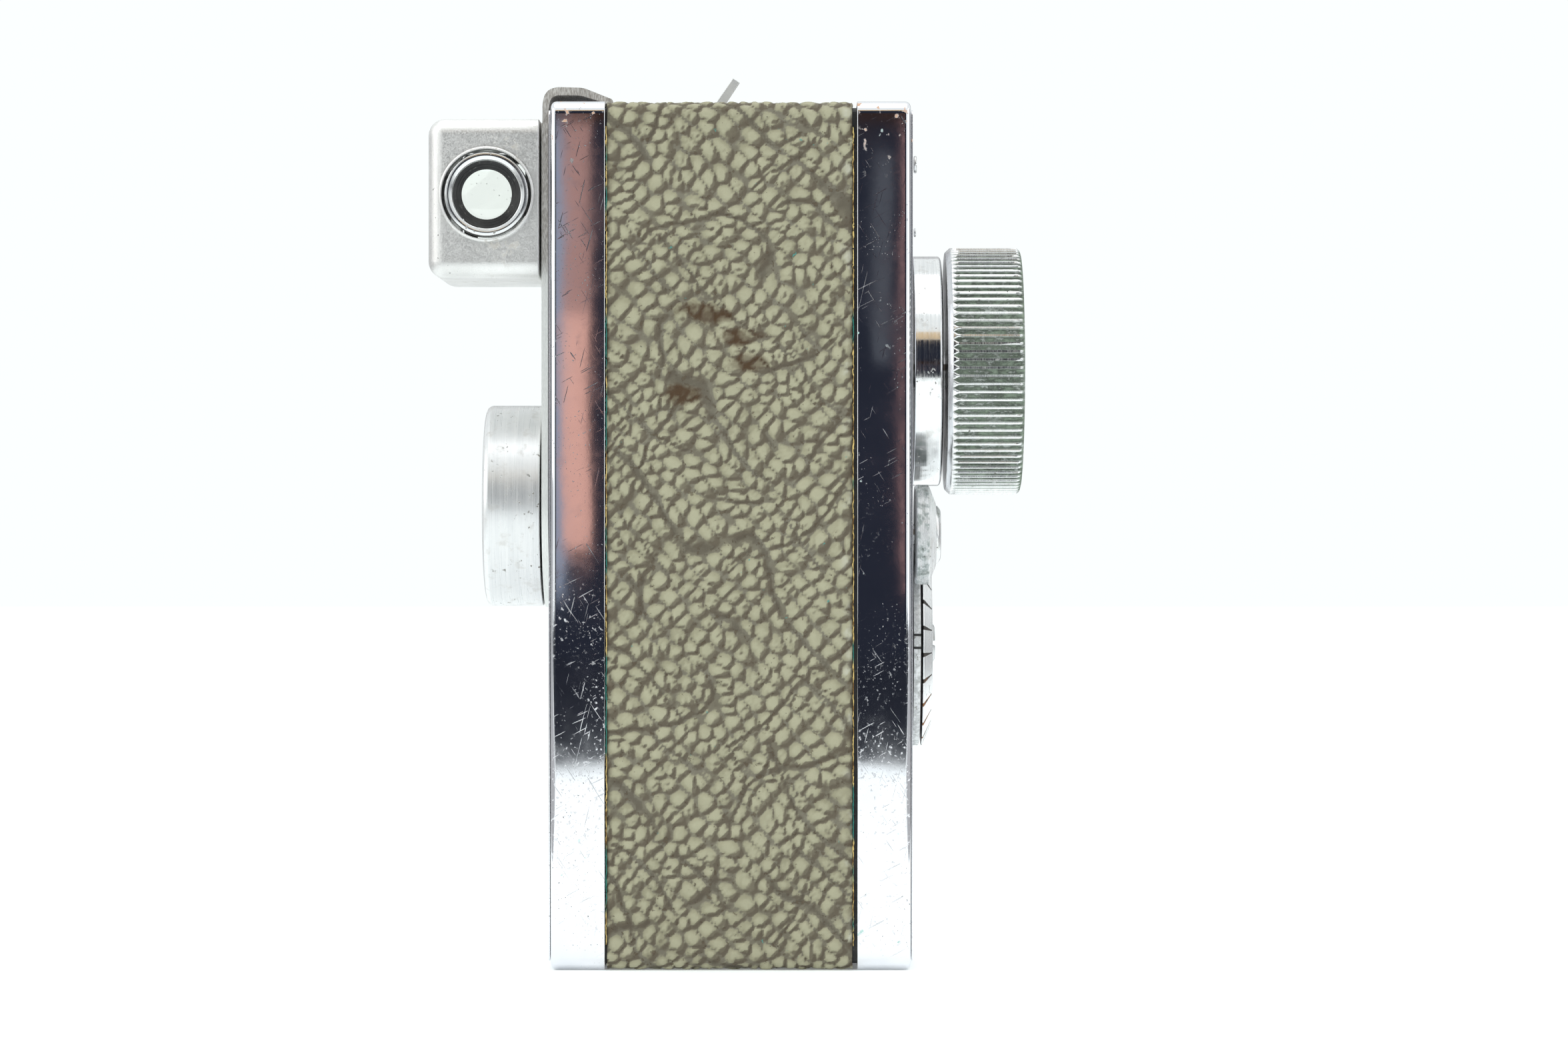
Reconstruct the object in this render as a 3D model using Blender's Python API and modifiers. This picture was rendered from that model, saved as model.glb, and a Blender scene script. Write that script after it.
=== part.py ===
"""Stereo camera for 35 mm film, standing on its left-hand end.

The long side of the camera runs along Z and its resting end lies at z = 0. The back faces -Y and
the two lenses face +Y. The top plate, with the finder and the level, is on the -X side, and the
bottom plate, with the winding knob and the exposure counter, is on the +X side.
"""

import math

import bmesh
import bpy

MM = 0.001

# Body, in millimetres
LENGTH = 120.0
DEPTH = 44.0
TOP_X = -25.0
BOTTOM_X = 24.7
LEATHER_X = (-17.2, 16.6)
FRAME_WALL = 0.6
END_WALL = 1.5
CORNER = 1.8
SHELL_INNER_CORNER = 0.3
RIM_BEVEL = 0.8
COVER = (0.1, 0.3)

# Film transport axes, as (y, z)
KNOB_AXIS = (0.0, 83.3)
SPROCKET_AXIS = (-12.5, 60.1)
COUNTER_AXIS = (3.5, 44.6)
SUPPLY_AXIS = (7.9, 11.2)
LEVEL_AXIS = (0.0, 64.2)

# Gear train: teeth of the drive gear, the sprocket gear and the take-up gear
DRIVE_TEETH, SPROCKET_TEETH, TAKEUP_TEETH = 59, 21, 22
COUNTER_TEETH = 24
GEAR_X = (19.2, 20.8)
COUNTER_GEAR_X = (21.3, 22.5)

# Winding knob
KNOB_R, KNURL_RIDGES = 17.5, 96

# Optics
LENS_Z = (30.0, 90.0)
FINDER_X, FINDER_Z, FINDER_HALF_DEPTH = (-42.4, -26.9), (95.9, 118.1), 15.5
EYE_X, EYE_Z = -34.2, 107.5

# Release lever, pivoting about Y
LEVER_PIVOT, LEVER_TIP, LEVER_Y = (-8.5, 113.2), (0.3, 126.1), (15.9, 16.9)

TURN = {
    "X": (math.pi / 2, 0, math.pi / 2),
    "Y": (math.pi / 2, 0, 0),
}
AXIS_TURN = {
    "+X": (0, math.pi / 2, 0),
    "-X": (0, -math.pi / 2, 0),
    "+Y": (-math.pi / 2, 0, 0),
    "-Y": (math.pi / 2, 0, 0),
}


def start_empty():
    for obj in list(bpy.data.objects):
        bpy.data.objects.remove(obj, do_unlink=True)
    parts = bpy.data.collections.new("stereo_camera")
    cutters = bpy.data.collections.new("cutters")
    for collection in (parts, cutters):
        bpy.context.scene.collection.children.link(collection)
    return parts, cutters


PARTS, CUTTERS = start_empty()


def material(name, colour, roughness, metallic=0.0, transmission=0.0):
    made = bpy.data.materials.new(name)
    made.use_nodes = True
    shader = made.node_tree.nodes["Principled BSDF"]
    shader.inputs["Base Color"].default_value = (*colour, 1)
    shader.inputs["Roughness"].default_value = roughness
    shader.inputs["Metallic"].default_value = metallic
    shader.inputs["Transmission Weight"].default_value = transmission
    return made


def add(obj, looks=None):
    """Puts the object among the parts, with its own copy of a material."""
    PARTS.objects.link(obj)
    if looks:
        obj.data.materials.clear()
        obj.data.materials.append(material(obj.name, *looks))
    return obj


def realised(obj, looks=None, sharp_degrees=30):
    """A mesh object with the shape that a curve or a modifier stack gives."""
    PARTS.objects.link(obj)
    bpy.context.view_layer.update()
    graph = bpy.context.evaluated_depsgraph_get()
    mesh = bpy.data.meshes.new_from_object(obj.evaluated_get(graph))
    welder = bmesh.new()
    welder.from_mesh(mesh)
    bmesh.ops.remove_doubles(welder, verts=welder.verts, dist=1e-6)
    welder.to_mesh(mesh)
    welder.free()
    mesh.shade_smooth()
    mesh.set_sharp_from_angle(angle=math.radians(sharp_degrees))
    name, matrix = obj.name, obj.matrix_world.copy()
    bpy.data.objects.remove(obj, do_unlink=True)
    made = bpy.data.objects.new(name, mesh)
    made.matrix_world = matrix
    return add(made, looks)


def plate(name, loops, axis, span, centre=(0.0, 0.0), looks=None):
    """A flat outline, with holes, extruded between two heights along an axis.

    The outline's two coordinates are (y, z) for axis X and (x, z) for axis Y.
    """
    curve = bpy.data.curves.new(name, "CURVE")
    curve.dimensions = "2D"
    curve.fill_mode = "BOTH"
    curve.extrude = (span[1] - span[0]) / 2 * MM
    for loop in loops:
        spline = curve.splines.new("POLY")
        spline.points.add(len(loop) - 1)
        for point, (u, v) in zip(spline.points, loop):
            point.co = (u * MM, v * MM, 0, 1)
        spline.use_cyclic_u = True
    obj = bpy.data.objects.new(name, curve)
    middle = (span[0] + span[1]) / 2
    u, v = centre
    spot = (middle, u, v) if axis == "X" else (u, middle, v)
    obj.location = [value * MM for value in spot]
    obj.rotation_euler = TURN[axis]
    return realised(obj, looks)


def turned(name, profile, axis, at, steps=32, looks=None):
    """A profile of (radius, height) pairs spun about an axis.

    The profile runs down its outer side. It is closed when it starts away from the axis.
    Heights are world coordinates along the axis, negated for a negative axis.
    """
    ring = profile[0][0] > 0
    points = [(r * MM, 0, h * MM) for r, h in profile]
    edges = [(i, i + 1) for i in range(len(points) - 1)]
    if ring:
        edges.append((len(points) - 1, 0))
    mesh = bpy.data.meshes.new(name)
    mesh.from_pydata(points, edges, [])
    obj = bpy.data.objects.new(name, mesh)
    spot = (0, *at) if axis[1] == "X" else (at[0], 0, at[1])
    obj.location = [value * MM for value in spot]
    obj.rotation_euler = AXIS_TURN[axis]
    spin = obj.modifiers.new("spin", "SCREW")
    spin.axis = "Z"
    spin.steps = spin.render_steps = steps
    spin.use_merge_vertices = True
    spin.merge_threshold = 0.00001
    return realised(obj, looks)


def rod(name, radius, span, axis, at, steps=16, looks=None, chamfer=0.0):
    low, high = span
    c = chamfer
    side = [(radius - c, high), (radius, high - c), (radius, low + c), (radius - c, low)]
    if not c:
        side = [(radius, high), (radius, low)]
    return turned(name, [(0, high), *side, (0, low)], axis, at, steps, looks)


def box(name, x, y, z, looks=None, bevel=0.0, segments=3):
    """A block between pairs of coordinates, with rounded edges if bevel is given."""
    mesh = bpy.data.meshes.new(name)
    builder = bmesh.new()
    bmesh.ops.create_cube(builder, size=1)
    size = [(pair[1] - pair[0]) * MM for pair in (x, y, z)]
    bmesh.ops.scale(builder, vec=size, verts=builder.verts)
    if bevel:
        bmesh.ops.bevel(
            builder, geom=builder.edges, offset=bevel * MM, offset_type="OFFSET",
            segments=segments, profile=0.5, affect="EDGES", material=-1, clamp_overlap=True,
        )
    builder.to_mesh(mesh)
    builder.free()
    mesh.shade_smooth()
    mesh.set_sharp_from_angle(angle=math.radians(30))
    obj = bpy.data.objects.new(name, mesh)
    obj.location = [(pair[0] + pair[1]) / 2 * MM for pair in (x, y, z)]
    return add(obj, looks)


def boolean(target, tool, operation="DIFFERENCE"):
    """Cuts, joins or intersects the target with a tool, which goes among the cutters."""
    for collection in list(tool.users_collection):
        collection.objects.unlink(tool)
    CUTTERS.objects.link(tool)
    tool.hide_render = True
    tool.display_type = "WIRE"
    step = target.modifiers.new(tool.name, "BOOLEAN")
    step.operation = operation
    step.solver = "EXACT"
    step.object = tool
    return target


def rounded(half_u, half_v, radius, centre=(0.0, 0.0), steps=5):
    """A rectangle with rounded corners, anticlockwise."""
    points = []
    for turn, (su, sv) in enumerate(((1, 1), (-1, 1), (-1, -1), (1, -1))):
        for i in range(steps + 1):
            angle = math.pi / 2 * (turn + i / steps)
            points.append((
                centre[0] + su * (half_u - radius) + radius * math.cos(angle),
                centre[1] + sv * (half_v - radius) + radius * math.sin(angle),
            ))
    return points


def circle(radius, centre=(0.0, 0.0), steps=20):
    return [
        (centre[0] + radius * math.cos(math.tau * i / steps),
         centre[1] + radius * math.sin(math.tau * i / steps))
        for i in range(steps)
    ]


def toothed(count, inner, outer, root_share, tip_share, phase=0.0):
    """A wheel outline: shares are half widths of a tooth, as parts of the pitch."""
    pitch = math.tau / count
    points = []
    for i in range(count):
        middle = phase + i * pitch
        for radius, share in (
            (inner, -root_share), (outer, -tip_share), (outer, tip_share), (inner, root_share)
        ):
            angle = middle + share * pitch
            points.append((radius * math.cos(angle), radius * math.sin(angle)))
    return points


def ridged(count, inner, outer):
    """A wheel outline with fine triangular ridges."""
    points = []
    for i in range(count):
        for radius, angle in ((inner, math.tau * (i - 0.5) / count), (outer, math.tau * i / count)):
            points.append((radius * math.cos(angle), radius * math.sin(angle)))
    return points


# Materials as (base colour, roughness, metallic, transmission)
CHROME = ((0.78, 0.78, 0.80), 0.12, 1.0)
SATIN = ((0.66, 0.64, 0.60), 0.42, 1.0)
STEEL = ((0.56, 0.56, 0.57), 0.38, 1.0)
BRASS = ((0.72, 0.56, 0.30), 0.40, 1.0)
BLACK = ((0.03, 0.03, 0.03), 0.55, 0.0)
PAINTED = ((0.06, 0.06, 0.06), 0.60, 0.0)
LEATHER = ((0.42, 0.37, 0.27), 0.62, 0.0)
GLASS = ((0.95, 0.97, 0.98), 0.03, 0.0, 1.0)

HALF_Y, HALF_Z, MID_Z = DEPTH / 2, LENGTH / 2, LENGTH / 2
GAP = 0.3

# ---------------------------------------------------------------- gear train geometry
centre_distance = math.dist(KNOB_AXIS, SPROCKET_AXIS)
GEAR_MODULE = 2 * centre_distance / (DRIVE_TEETH + SPROCKET_TEETH)
DRIVE_R, SPROCKET_R, TAKEUP_R = (
    GEAR_MODULE * teeth / 2 for teeth in (DRIVE_TEETH, SPROCKET_TEETH, TAKEUP_TEETH)
)
TAKEUP_Z = 108.8
takeup_offset = math.sqrt((DRIVE_R + TAKEUP_R) ** 2 - (TAKEUP_Z - KNOB_AXIS[1]) ** 2)
TAKEUP_AXIS = (KNOB_AXIS[0] + takeup_offset, TAKEUP_Z)


def direction(start, end):
    return math.atan2(end[1] - start[1], end[0] - start[0])


def gear(name, teeth, pitch_r, span, axis_at, phase, bore_r, looks):
    """A spur gear whose first tooth points at the phase angle, from +Y towards +Z."""
    outline = toothed(
        teeth, pitch_r - 0.62 * GEAR_MODULE, pitch_r + 0.46 * GEAR_MODULE, 0.29, 0.11, phase
    )
    return plate(name, [outline, circle(bore_r, steps=12)], "X", span, axis_at, looks)


# ---------------------------------------------------------------- casing
body_shell = plate(
    "body_shell",
    [rounded(HALF_Y - 0.9, HALF_Z - 0.9, CORNER - 0.9),
     rounded(HALF_Y - 2.1, HALF_Z - 2.1, SHELL_INNER_CORNER)],
    "X", (-23.0, 22.7), (0, MID_Z), STEEL,
)
leatherette_wrap = plate(
    "leatherette_wrap",
    [rounded(HALF_Y - 0.1, HALF_Z, CORNER - 0.1),
     rounded(HALF_Y - 0.6, HALF_Z - 0.6, CORNER - 0.6)],
    "X", LEATHER_X, (0, MID_Z), LEATHER,
)
for wall, radius in ((body_shell, 8.6), (leatherette_wrap, 9.2)):
    for z in LENS_Z:
        boolean(wall, rod(f"{wall.name}_bore_{z:.0f}", radius, (15, 25), "+Y", (0, z), 24))
    boolean(wall, box(f"{wall.name}_lever_slot", (-10.4, -1.9), (15.3, 17.5), (115, 126)))
    boolean(wall, box(f"{wall.name}_stop_slot", (-1.7, 1.7), (15, 25), (49.2, 70.8)))


def end_frame(name, outer_x, inner_x):
    """A polished pan that closes one side of the body, with a rounded outer rim."""
    side = 1 if outer_x > 0 else -1
    far = outer_x - side * 14
    frame = plate(
        name, [rounded(HALF_Y, HALF_Z, CORNER)], "X", sorted((outer_x, far)), (0, MID_Z), CHROME
    )
    rim = frame.modifiers.new("rim", "BEVEL")
    rim.width = RIM_BEVEL * MM
    rim.segments = 3
    rim.limit_method = "ANGLE"
    rim.angle_limit = math.radians(60)
    boolean(frame, box(f"{name}_trim", sorted((inner_x, far - side * 5)), (-30, 30), (-10, 130)))
    hollow = plate(
        f"{name}_hollow",
        [rounded(HALF_Y - FRAME_WALL, HALF_Z - FRAME_WALL, CORNER - FRAME_WALL)],
        "X", sorted((outer_x - side * END_WALL, far - side * 3)), (0, MID_Z),
    )
    return boolean(frame, hollow)


top_frame = end_frame("top_frame", TOP_X, -17.5)
bottom_frame = end_frame("bottom_frame", BOTTOM_X, 17.3)
SHAFTS = {"knob": (KNOB_AXIS, 2.57), "sprocket": (SPROCKET_AXIS, 1.57),
          "counter": (COUNTER_AXIS, 1.57)}
for label, (at, radius) in SHAFTS.items():
    boolean(bottom_frame, rod(f"{label}_hole", radius, (22, 26), "+X", at, 16))
for label, at in (("takeup", TAKEUP_AXIS), ("supply", SUPPLY_AXIS)):
    boolean(bottom_frame, rod(f"{label}_socket", 1.57, (22, 24.1), "+X", at, 16))

plate(
    "top_cover", [rounded(HALF_Y - 1.4, HALF_Z - 1.2, CORNER - 1.0)], "X",
    (TOP_X - sum(COVER), TOP_X - COVER[0]), (0, MID_Z), CHROME,
)
cover_holes = [
    circle(radius + 0.5, (at[0], at[1] - MID_Z), 16) for at, radius in SHAFTS.values()
]
plate(
    "bottom_cover", [rounded(HALF_Y - 1.4, HALF_Z - 1.2, CORNER - 1.0), *cover_holes], "X",
    (BOTTOM_X + COVER[0], BOTTOM_X + sum(COVER)), (0, MID_Z), CHROME,
)
rod("frame_screw", 1.2, (25.2, 25.6), "+X", (-17.0, 111.5), 16, STEEL)
rod("frame_pin", 0.6, (25.2, 25.5), "+X", (-17.6, 102.0), 12, STEEL)

# ---------------------------------------------------------------- film chassis and pressure plate
GATE_HALF_X, GATE_HALF_Z = 12.0, 9.0
windows = [rounded(GATE_HALF_X, GATE_HALF_Z, 0.6, (0, z - MID_Z), 2) for z in LENS_Z]
sprocket_window = rounded(15.2, 6.7, 0.6, (0, SPROCKET_AXIS[1] - MID_Z), 2)
film_chassis = plate(
    "film_chassis", [rounded(17, 42, 1, steps=2), *windows, sprocket_window], "Y",
    (-17.2, -16.0), (0, MID_Z), PAINTED,
)
boolean(
    film_chassis,
    plate("chassis_front",
          [rounded(13.9, 56, 1, steps=2), *(circle(5.6, (0, z - MID_Z)) for z in LENS_Z)],
          "Y", (13.0, 14.2), (0, MID_Z)),
    "UNION",
)
for z in LENS_Z:
    tunnel = plate(
        f"light_tunnel_{z:.0f}",
        [rounded(13.5, 10.5, 1, steps=2), rounded(12.5, 9.5, 0.8, steps=2)],
        "Y", (-16.4, 13.4), (0, z),
    )
    boolean(film_chassis, tunnel, "UNION")

plate("pressure_plate", [rounded(16.5, 40, 1.5, steps=2)], "Y", (-19.6, -19.1), (0, MID_Z), STEEL)
plate(
    "bearing_plate",
    [rounded(19.4, 57.4, 2.4, steps=3),
     *(circle(1.57, (at[0], at[1] - MID_Z), 12) for at in (TAKEUP_AXIS, SPROCKET_AXIS, SUPPLY_AXIS))],
    "X", (-21.6, -20.6), (0, MID_Z), BRASS,
)

# ---------------------------------------------------------------- winding knob and drive
winding_knob = turned(
    "winding_knob",
    [(KNOB_R - 0.7, 40.7), (KNOB_R, 40.15), (KNOB_R, 39.8), (KNOB_R - 0.6, 39.75),
     (KNOB_R - 0.6, 30.75), (KNOB_R + 0.05, 30.7), (KNOB_R - 0.65, 30.0), (2.8, 30.0),
     (2.8, 36.2), (1.5, 36.2), (1.5, 38.6), (3.6, 38.6), (3.6, 39.5), (9.0, 39.5),
     (9.6, 40.7)],
    "+X", KNOB_AXIS, 48, CHROME,
)
knurl = plate(
    "knurl",
    [ridged(KNURL_RIDGES, KNOB_R - 0.5, KNOB_R - 0.02), circle(12.0, steps=16)],
    "X", (30.65, 39.9), KNOB_AXIS,
)
boolean(winding_knob, knurl, "UNION")
rod("winding_shaft", 2.5, (18.4, 36.0), "+X", KNOB_AXIS, 16, STEEL, 0.3)
turned(
    "knob_screw",
    [(0, 40.2), (2.6, 40.2), (3.3, 39.8), (3.3, 38.9), (1.2, 38.9), (1.2, 36.3), (0, 36.3)],
    "+X", KNOB_AXIS, 16, STEEL,
)
boolean(
    bpy.data.objects["knob_screw"],
    box("knob_screw_slot", (39.7, 41), (-4, 4), (KNOB_AXIS[1] - 0.4, KNOB_AXIS[1] + 0.4)),
)
to_sprocket = direction(KNOB_AXIS, SPROCKET_AXIS)
to_takeup = direction(KNOB_AXIS, TAKEUP_AXIS)
gear("drive_gear", DRIVE_TEETH, DRIVE_R, GEAR_X, KNOB_AXIS, to_sprocket, 2.8, BRASS)
turned(
    "knob_sleeve",
    [(15.9, 29.4), (16.3, 29.1), (16.3, 25.4), (3.1, 25.4), (3.1, 29.4)],
    "+X", KNOB_AXIS, 48, CHROME,
)

# ---------------------------------------------------------------- sprocket
sprocket = turned(
    "sprocket",
    [(3.4, 14.8), (4.9, 14.6), (4.9, -14.6), (3.4, -14.8), (1.8, -14.8), (1.8, 14.8)],
    "+X", SPROCKET_AXIS, 20, STEEL,
)
for side, x in (("near", -13.4), ("far", 13.4)):
    row = plate(
        f"sprocket_row_{side}",
        [toothed(8, 4.75, 6.1, 0.11, 0.05), circle(3.0, steps=16)],
        "X", (x - 0.6, x + 0.6), SPROCKET_AXIS,
    )
    boolean(sprocket, row, "UNION")
rod("sprocket_shaft", 1.5, (-21.9, 25.8), "+X", SPROCKET_AXIS, 12, STEEL, 0.2)
gap_at = to_sprocket + math.pi
gear("sprocket_gear", SPROCKET_TEETH, SPROCKET_R, GEAR_X, SPROCKET_AXIS,
     gap_at + math.pi / SPROCKET_TEETH, 1.8, BRASS)

# A one-toothed cam moves the counter wheel by one tooth for each turn of the sprocket
to_counter = direction(SPROCKET_AXIS, COUNTER_AXIS)
away = to_counter + math.pi
cam_outline = [
    (5.0 * math.cos(away + a), 5.0 * math.sin(away + a))
    for a in (math.tau * (0.04 + 0.92 * i / 22) for i in range(23))
] + [
    (7.05 * math.cos(away - 0.06), 7.05 * math.sin(away - 0.06)),
    (7.05 * math.cos(away + 0.06), 7.05 * math.sin(away + 0.06)),
]
plate("counter_cam", [cam_outline, circle(1.8, steps=12)], "X", COUNTER_GEAR_X,
      SPROCKET_AXIS, STEEL)

turned(
    "release_disc",
    [(4.35, 28.4), (6.65, 27.5), (7.0, 27.3), (7.0, 25.7), (6.7, 25.4), (1.8, 25.4), (1.8, 26.1),
     (4.35, 26.1)],
    "+X", SPROCKET_AXIS, 32, SATIN,
)
turned(
    "release_button",
    [(0, 29.05), (3.4, 29.05), (4.05, 28.6), (4.05, 27.3), (0, 27.3)],
    "+X", SPROCKET_AXIS, 32, SATIN,
)

# ---------------------------------------------------------------- exposure counter
plate(
    "counter_wheel",
    [toothed(COUNTER_TEETH, 14.5, 15.9, 0.2, 0.1, to_counter + math.pi), circle(1.8, steps=12)],
    "X", COUNTER_GEAR_X, COUNTER_AXIS, BRASS,
)
rod("counter_shaft", 1.5, (20.9, 27.1), "+X", COUNTER_AXIS, 12, STEEL, 0.2)
turned(
    "dial_base", [(14.5, 26.4), (14.65, 26.25), (14.65, 25.4), (2.2, 25.4), (2.2, 26.4)],
    "+X", COUNTER_AXIS, 40, CHROME,
)
turned(
    "counter_dial",
    [(11.8, 28.1), (12.1, 27.95), (14.65, 26.7), (1.8, 26.7), (1.8, 27.4), (3.2, 27.4),
     (3.2, 28.1)],
    "+X", COUNTER_AXIS, 48, SATIN,
)
dial_screw = turned(
    "dial_screw", [(0, 28.7), (2.3, 28.7), (2.8, 28.4), (2.8, 27.7), (0, 27.7)],
    "+X", COUNTER_AXIS, 16, STEEL,
)
boolean(
    dial_screw,
    box("dial_screw_slot", (28.3, 29), (-1, 8), (COUNTER_AXIS[1] - 0.35, COUNTER_AXIS[1] + 0.35)),
)

# ---------------------------------------------------------------- film spools
def spool(name, at, looks):
    return turned(
        name,
        [(8.3, 18.6), (8.6, 18.4), (8.6, 17.8), (8.3, 17.6), (4.0, 17.6), (4.0, -17.6),
         (8.3, -17.6), (8.6, -17.8), (8.6, -18.4), (8.3, -18.6), (1.8, -18.6), (1.8, 18.6)],
        "+X", at, 20, looks,
    )


spool("takeup_spool", TAKEUP_AXIS, BLACK)
spool("supply_spool", SUPPLY_AXIS, BLACK)
rod("takeup_shaft", 1.5, (-21.9, 23.9), "+X", TAKEUP_AXIS, 12, STEEL, 0.2)
rod("supply_shaft", 1.5, (-21.9, 23.9), "+X", SUPPLY_AXIS, 12, STEEL, 0.2)
drive_pitch = math.tau / DRIVE_TEETH
short_of_line = (to_takeup - to_sprocket) % drive_pitch
takeup_gap = to_takeup + math.pi + short_of_line * DRIVE_TEETH / TAKEUP_TEETH
gear("takeup_gear", TAKEUP_TEETH, TAKEUP_R, GEAR_X, TAKEUP_AXIS,
     takeup_gap + math.pi / TAKEUP_TEETH, 1.8, BRASS)

# ---------------------------------------------------------------- finder on its bracket
BRACKET_X = (-26.6, -25.7)
strap = [
    (BRACKET_X[0], 45.0), (BRACKET_X[1], 45.0), (BRACKET_X[1], 120.2), (BRACKET_X[1] + 0.3, 121.2),
    (BRACKET_X[1] + 1.1, 121.6), (-21.3, 121.6), (-17.1, 120.3), (-16.7, 120.3),
    (-16.75, 121.0), (-20.9, 122.65), (-24.6, 122.75), (-25.7, 122.4), (-26.35, 121.6),
    (BRACKET_X[0], 120.4),
]
finder_bracket = plate("finder_bracket", [strap], "Y", (-18, 18), (0, 0), SATIN)
half_width = 14.4
end_arc = [
    (half_width * math.cos(a), LEVEL_AXIS[1] + half_width * math.sin(a))
    for a in (math.pi + math.pi * i / 20 for i in range(21))
]
bracket_outline = end_arc + [(14.4, 116.5), (11.5, 119), (11.5, 125), (-11.5, 125), (-11.5, 119),
                             (-14.4, 116.5)]
boolean(finder_bracket,
        plate("bracket_outline", [bracket_outline], "X", (-30, -10), (0, 0)), "INTERSECT")

finder_housing = box(
    "finder_housing", FINDER_X, (-FINDER_HALF_DEPTH, FINDER_HALF_DEPTH), FINDER_Z, SATIN
)
free_edges = bmesh.new()
free_edges.from_mesh(finder_housing.data)
bmesh.ops.bevel(
    free_edges,
    geom=[edge for edge in free_edges.edges if min(vert.co.x for vert in edge.verts) < 0],
    offset=2.3 * MM, offset_type="OFFSET", segments=4, profile=0.5, affect="EDGES",
    material=-1, clamp_overlap=True,
)
free_edges.to_mesh(finder_housing.data)
free_edges.free()
boss = turned(
    "eyepiece_boss", [(6.35, 16.1), (6.6, 15.9), (6.6, 14.0), (6.25, 14.0), (6.25, 16.1)],
    "-Y", (EYE_X, EYE_Z), 32,
)
boolean(finder_housing,
        rod("eyepiece_bore", 6.4, (11.5, 17), "-Y", (EYE_X, EYE_Z), 32))
boolean(finder_housing, boss, "UNION")
boolean(finder_housing, box("finder_tunnel", (-39.4, -29.0), (-13.5, 17), (98.2, 115.4)))

turned(
    "eyepiece_ring",
    [(5.7, 15.9), (5.92, 15.7), (5.92, 11.9), (4.8, 11.9), (4.8, 15.9)],
    "-Y", (EYE_X, EYE_Z), 32, CHROME,
)
turned(
    "eyepiece_mask", [(4.5, 15.6), (4.5, 14.5), (3.5, 14.5), (3.5, 15.3)],
    "-Y", (EYE_X, EYE_Z), 32, BLACK,
)
turned(
    "eyepiece_lens",
    [(0, 14.15), (2.4, 14.0), (4.4, 13.5), (4.4, 12.3), (0, 12.3)],
    "-Y", (EYE_X, EYE_Z), 20, GLASS,
)
MASK_X, MASK_Z = (-39.1, -29.3), (98.5, 115.1)
mask_centre = (sum(MASK_X) / 2, sum(MASK_Z) / 2)
plate(
    "objective_frame",
    [rounded(4.9, 8.3, 0.5, steps=2), rounded(3.6, 7.0, 0.3, (0.6, 0), 2)],
    "Y", (14.2, 15.2), mask_centre, BLACK,
)
plate("objective_lens", [rounded(4.9, 8.3, 0.5, steps=2)], "Y", (12.6, 13.8), mask_centre, GLASS)

# ---------------------------------------------------------------- level
turned(
    "level_housing",
    [(13.2, 35.0), (13.9, 34.6), (14.2, 34.0), (14.2, 26.9), (1.2, 26.9), (1.2, 30.8),
     (12.1, 30.8), (12.1, 35.0)],
    "-X", LEVEL_AXIS, 40, SATIN,
)
turned(
    "level_glass",
    [(0, 34.4), (6.0, 34.2), (11.8, 33.6), (11.8, 32.5), (0, 32.5)],
    "-X", LEVEL_AXIS, 32, GLASS,
)

# ---------------------------------------------------------------- lenses, shutter and stops
stop_slot = rounded(1.7, 10.8, 1.6, steps=4)
plate(
    "front_plate",
    [rounded(14.8, 52, 6), *(circle(8.6, (0, z - MID_Z), 24) for z in LENS_Z), stop_slot],
    "Y", (22.2, 23.4), (0, MID_Z), SATIN,
)
for side, z in zip(("left", "right"), LENS_Z):
    turned(
        f"{side}_lens_barrel",
        [(9.2, 29.0), (9.6, 28.7), (9.6, 25.2), (11.4, 25.0), (11.6, 24.8), (11.6, 23.7),
         (8.3, 23.7), (8.3, 16.8), (6.0, 16.8), (6.0, 25.4), (7.6, 25.8), (7.6, 29.0)],
        "+Y", (0, z), 32, CHROME,
    )
    turned(
        f"{side}_front_lens",
        [(0, 27.9), (4.0, 27.6), (7.3, 26.7), (7.3, 26.2), (0, 26.2)], "+Y", (0, z), 20, GLASS,
    )
    turned(
        f"{side}_lens_ring",
        [(7.3, 28.8), (7.3, 28.2), (6.0, 28.2), (6.0, 28.4), (6.4, 28.8)],
        "+Y", (0, z), 24, BLACK,
    )
    turned(
        f"{side}_rear_lens",
        [(0, 19.2), (5.7, 19.2), (5.7, 18.0), (3.0, 17.4), (0, 17.2)], "+Y", (0, z), 20, GLASS,
    )

SHUTTER_Y, STOP_Y = (14.6, 15.1), (15.5, 16.0)
TRAVEL = 12.0
plate(
    "shutter_plate",
    [rounded(9, 43.5, 1, (0, 65.5), 2),
     *(circle(4.6, (0, z + TRAVEL / 2)) for z in LENS_Z)],
    "Y", SHUTTER_Y, (0, 0), PAINTED,
)
STOP_PITCH = 9.0
stops = [
    circle(radius, (0, z - MID_Z + step * STOP_PITCH), 12)
    for z in LENS_Z for step, radius in ((-1, 1.4), (0, 2.4), (1, 3.8))
]
plate("stop_plate", [rounded(5.4, 43, 1, steps=2), *stops], "Y", STOP_Y, (0, MID_Z), BRASS)
turned(
    "stop_knob",
    [(0, 26.6), (2.2, 26.6), (2.6, 26.3), (2.6, 24.3), (1.2, 24.0), (1.2, 16.3), (0, 16.3)],
    "+Y", (0, MID_Z), 20, STEEL,
)


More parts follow.
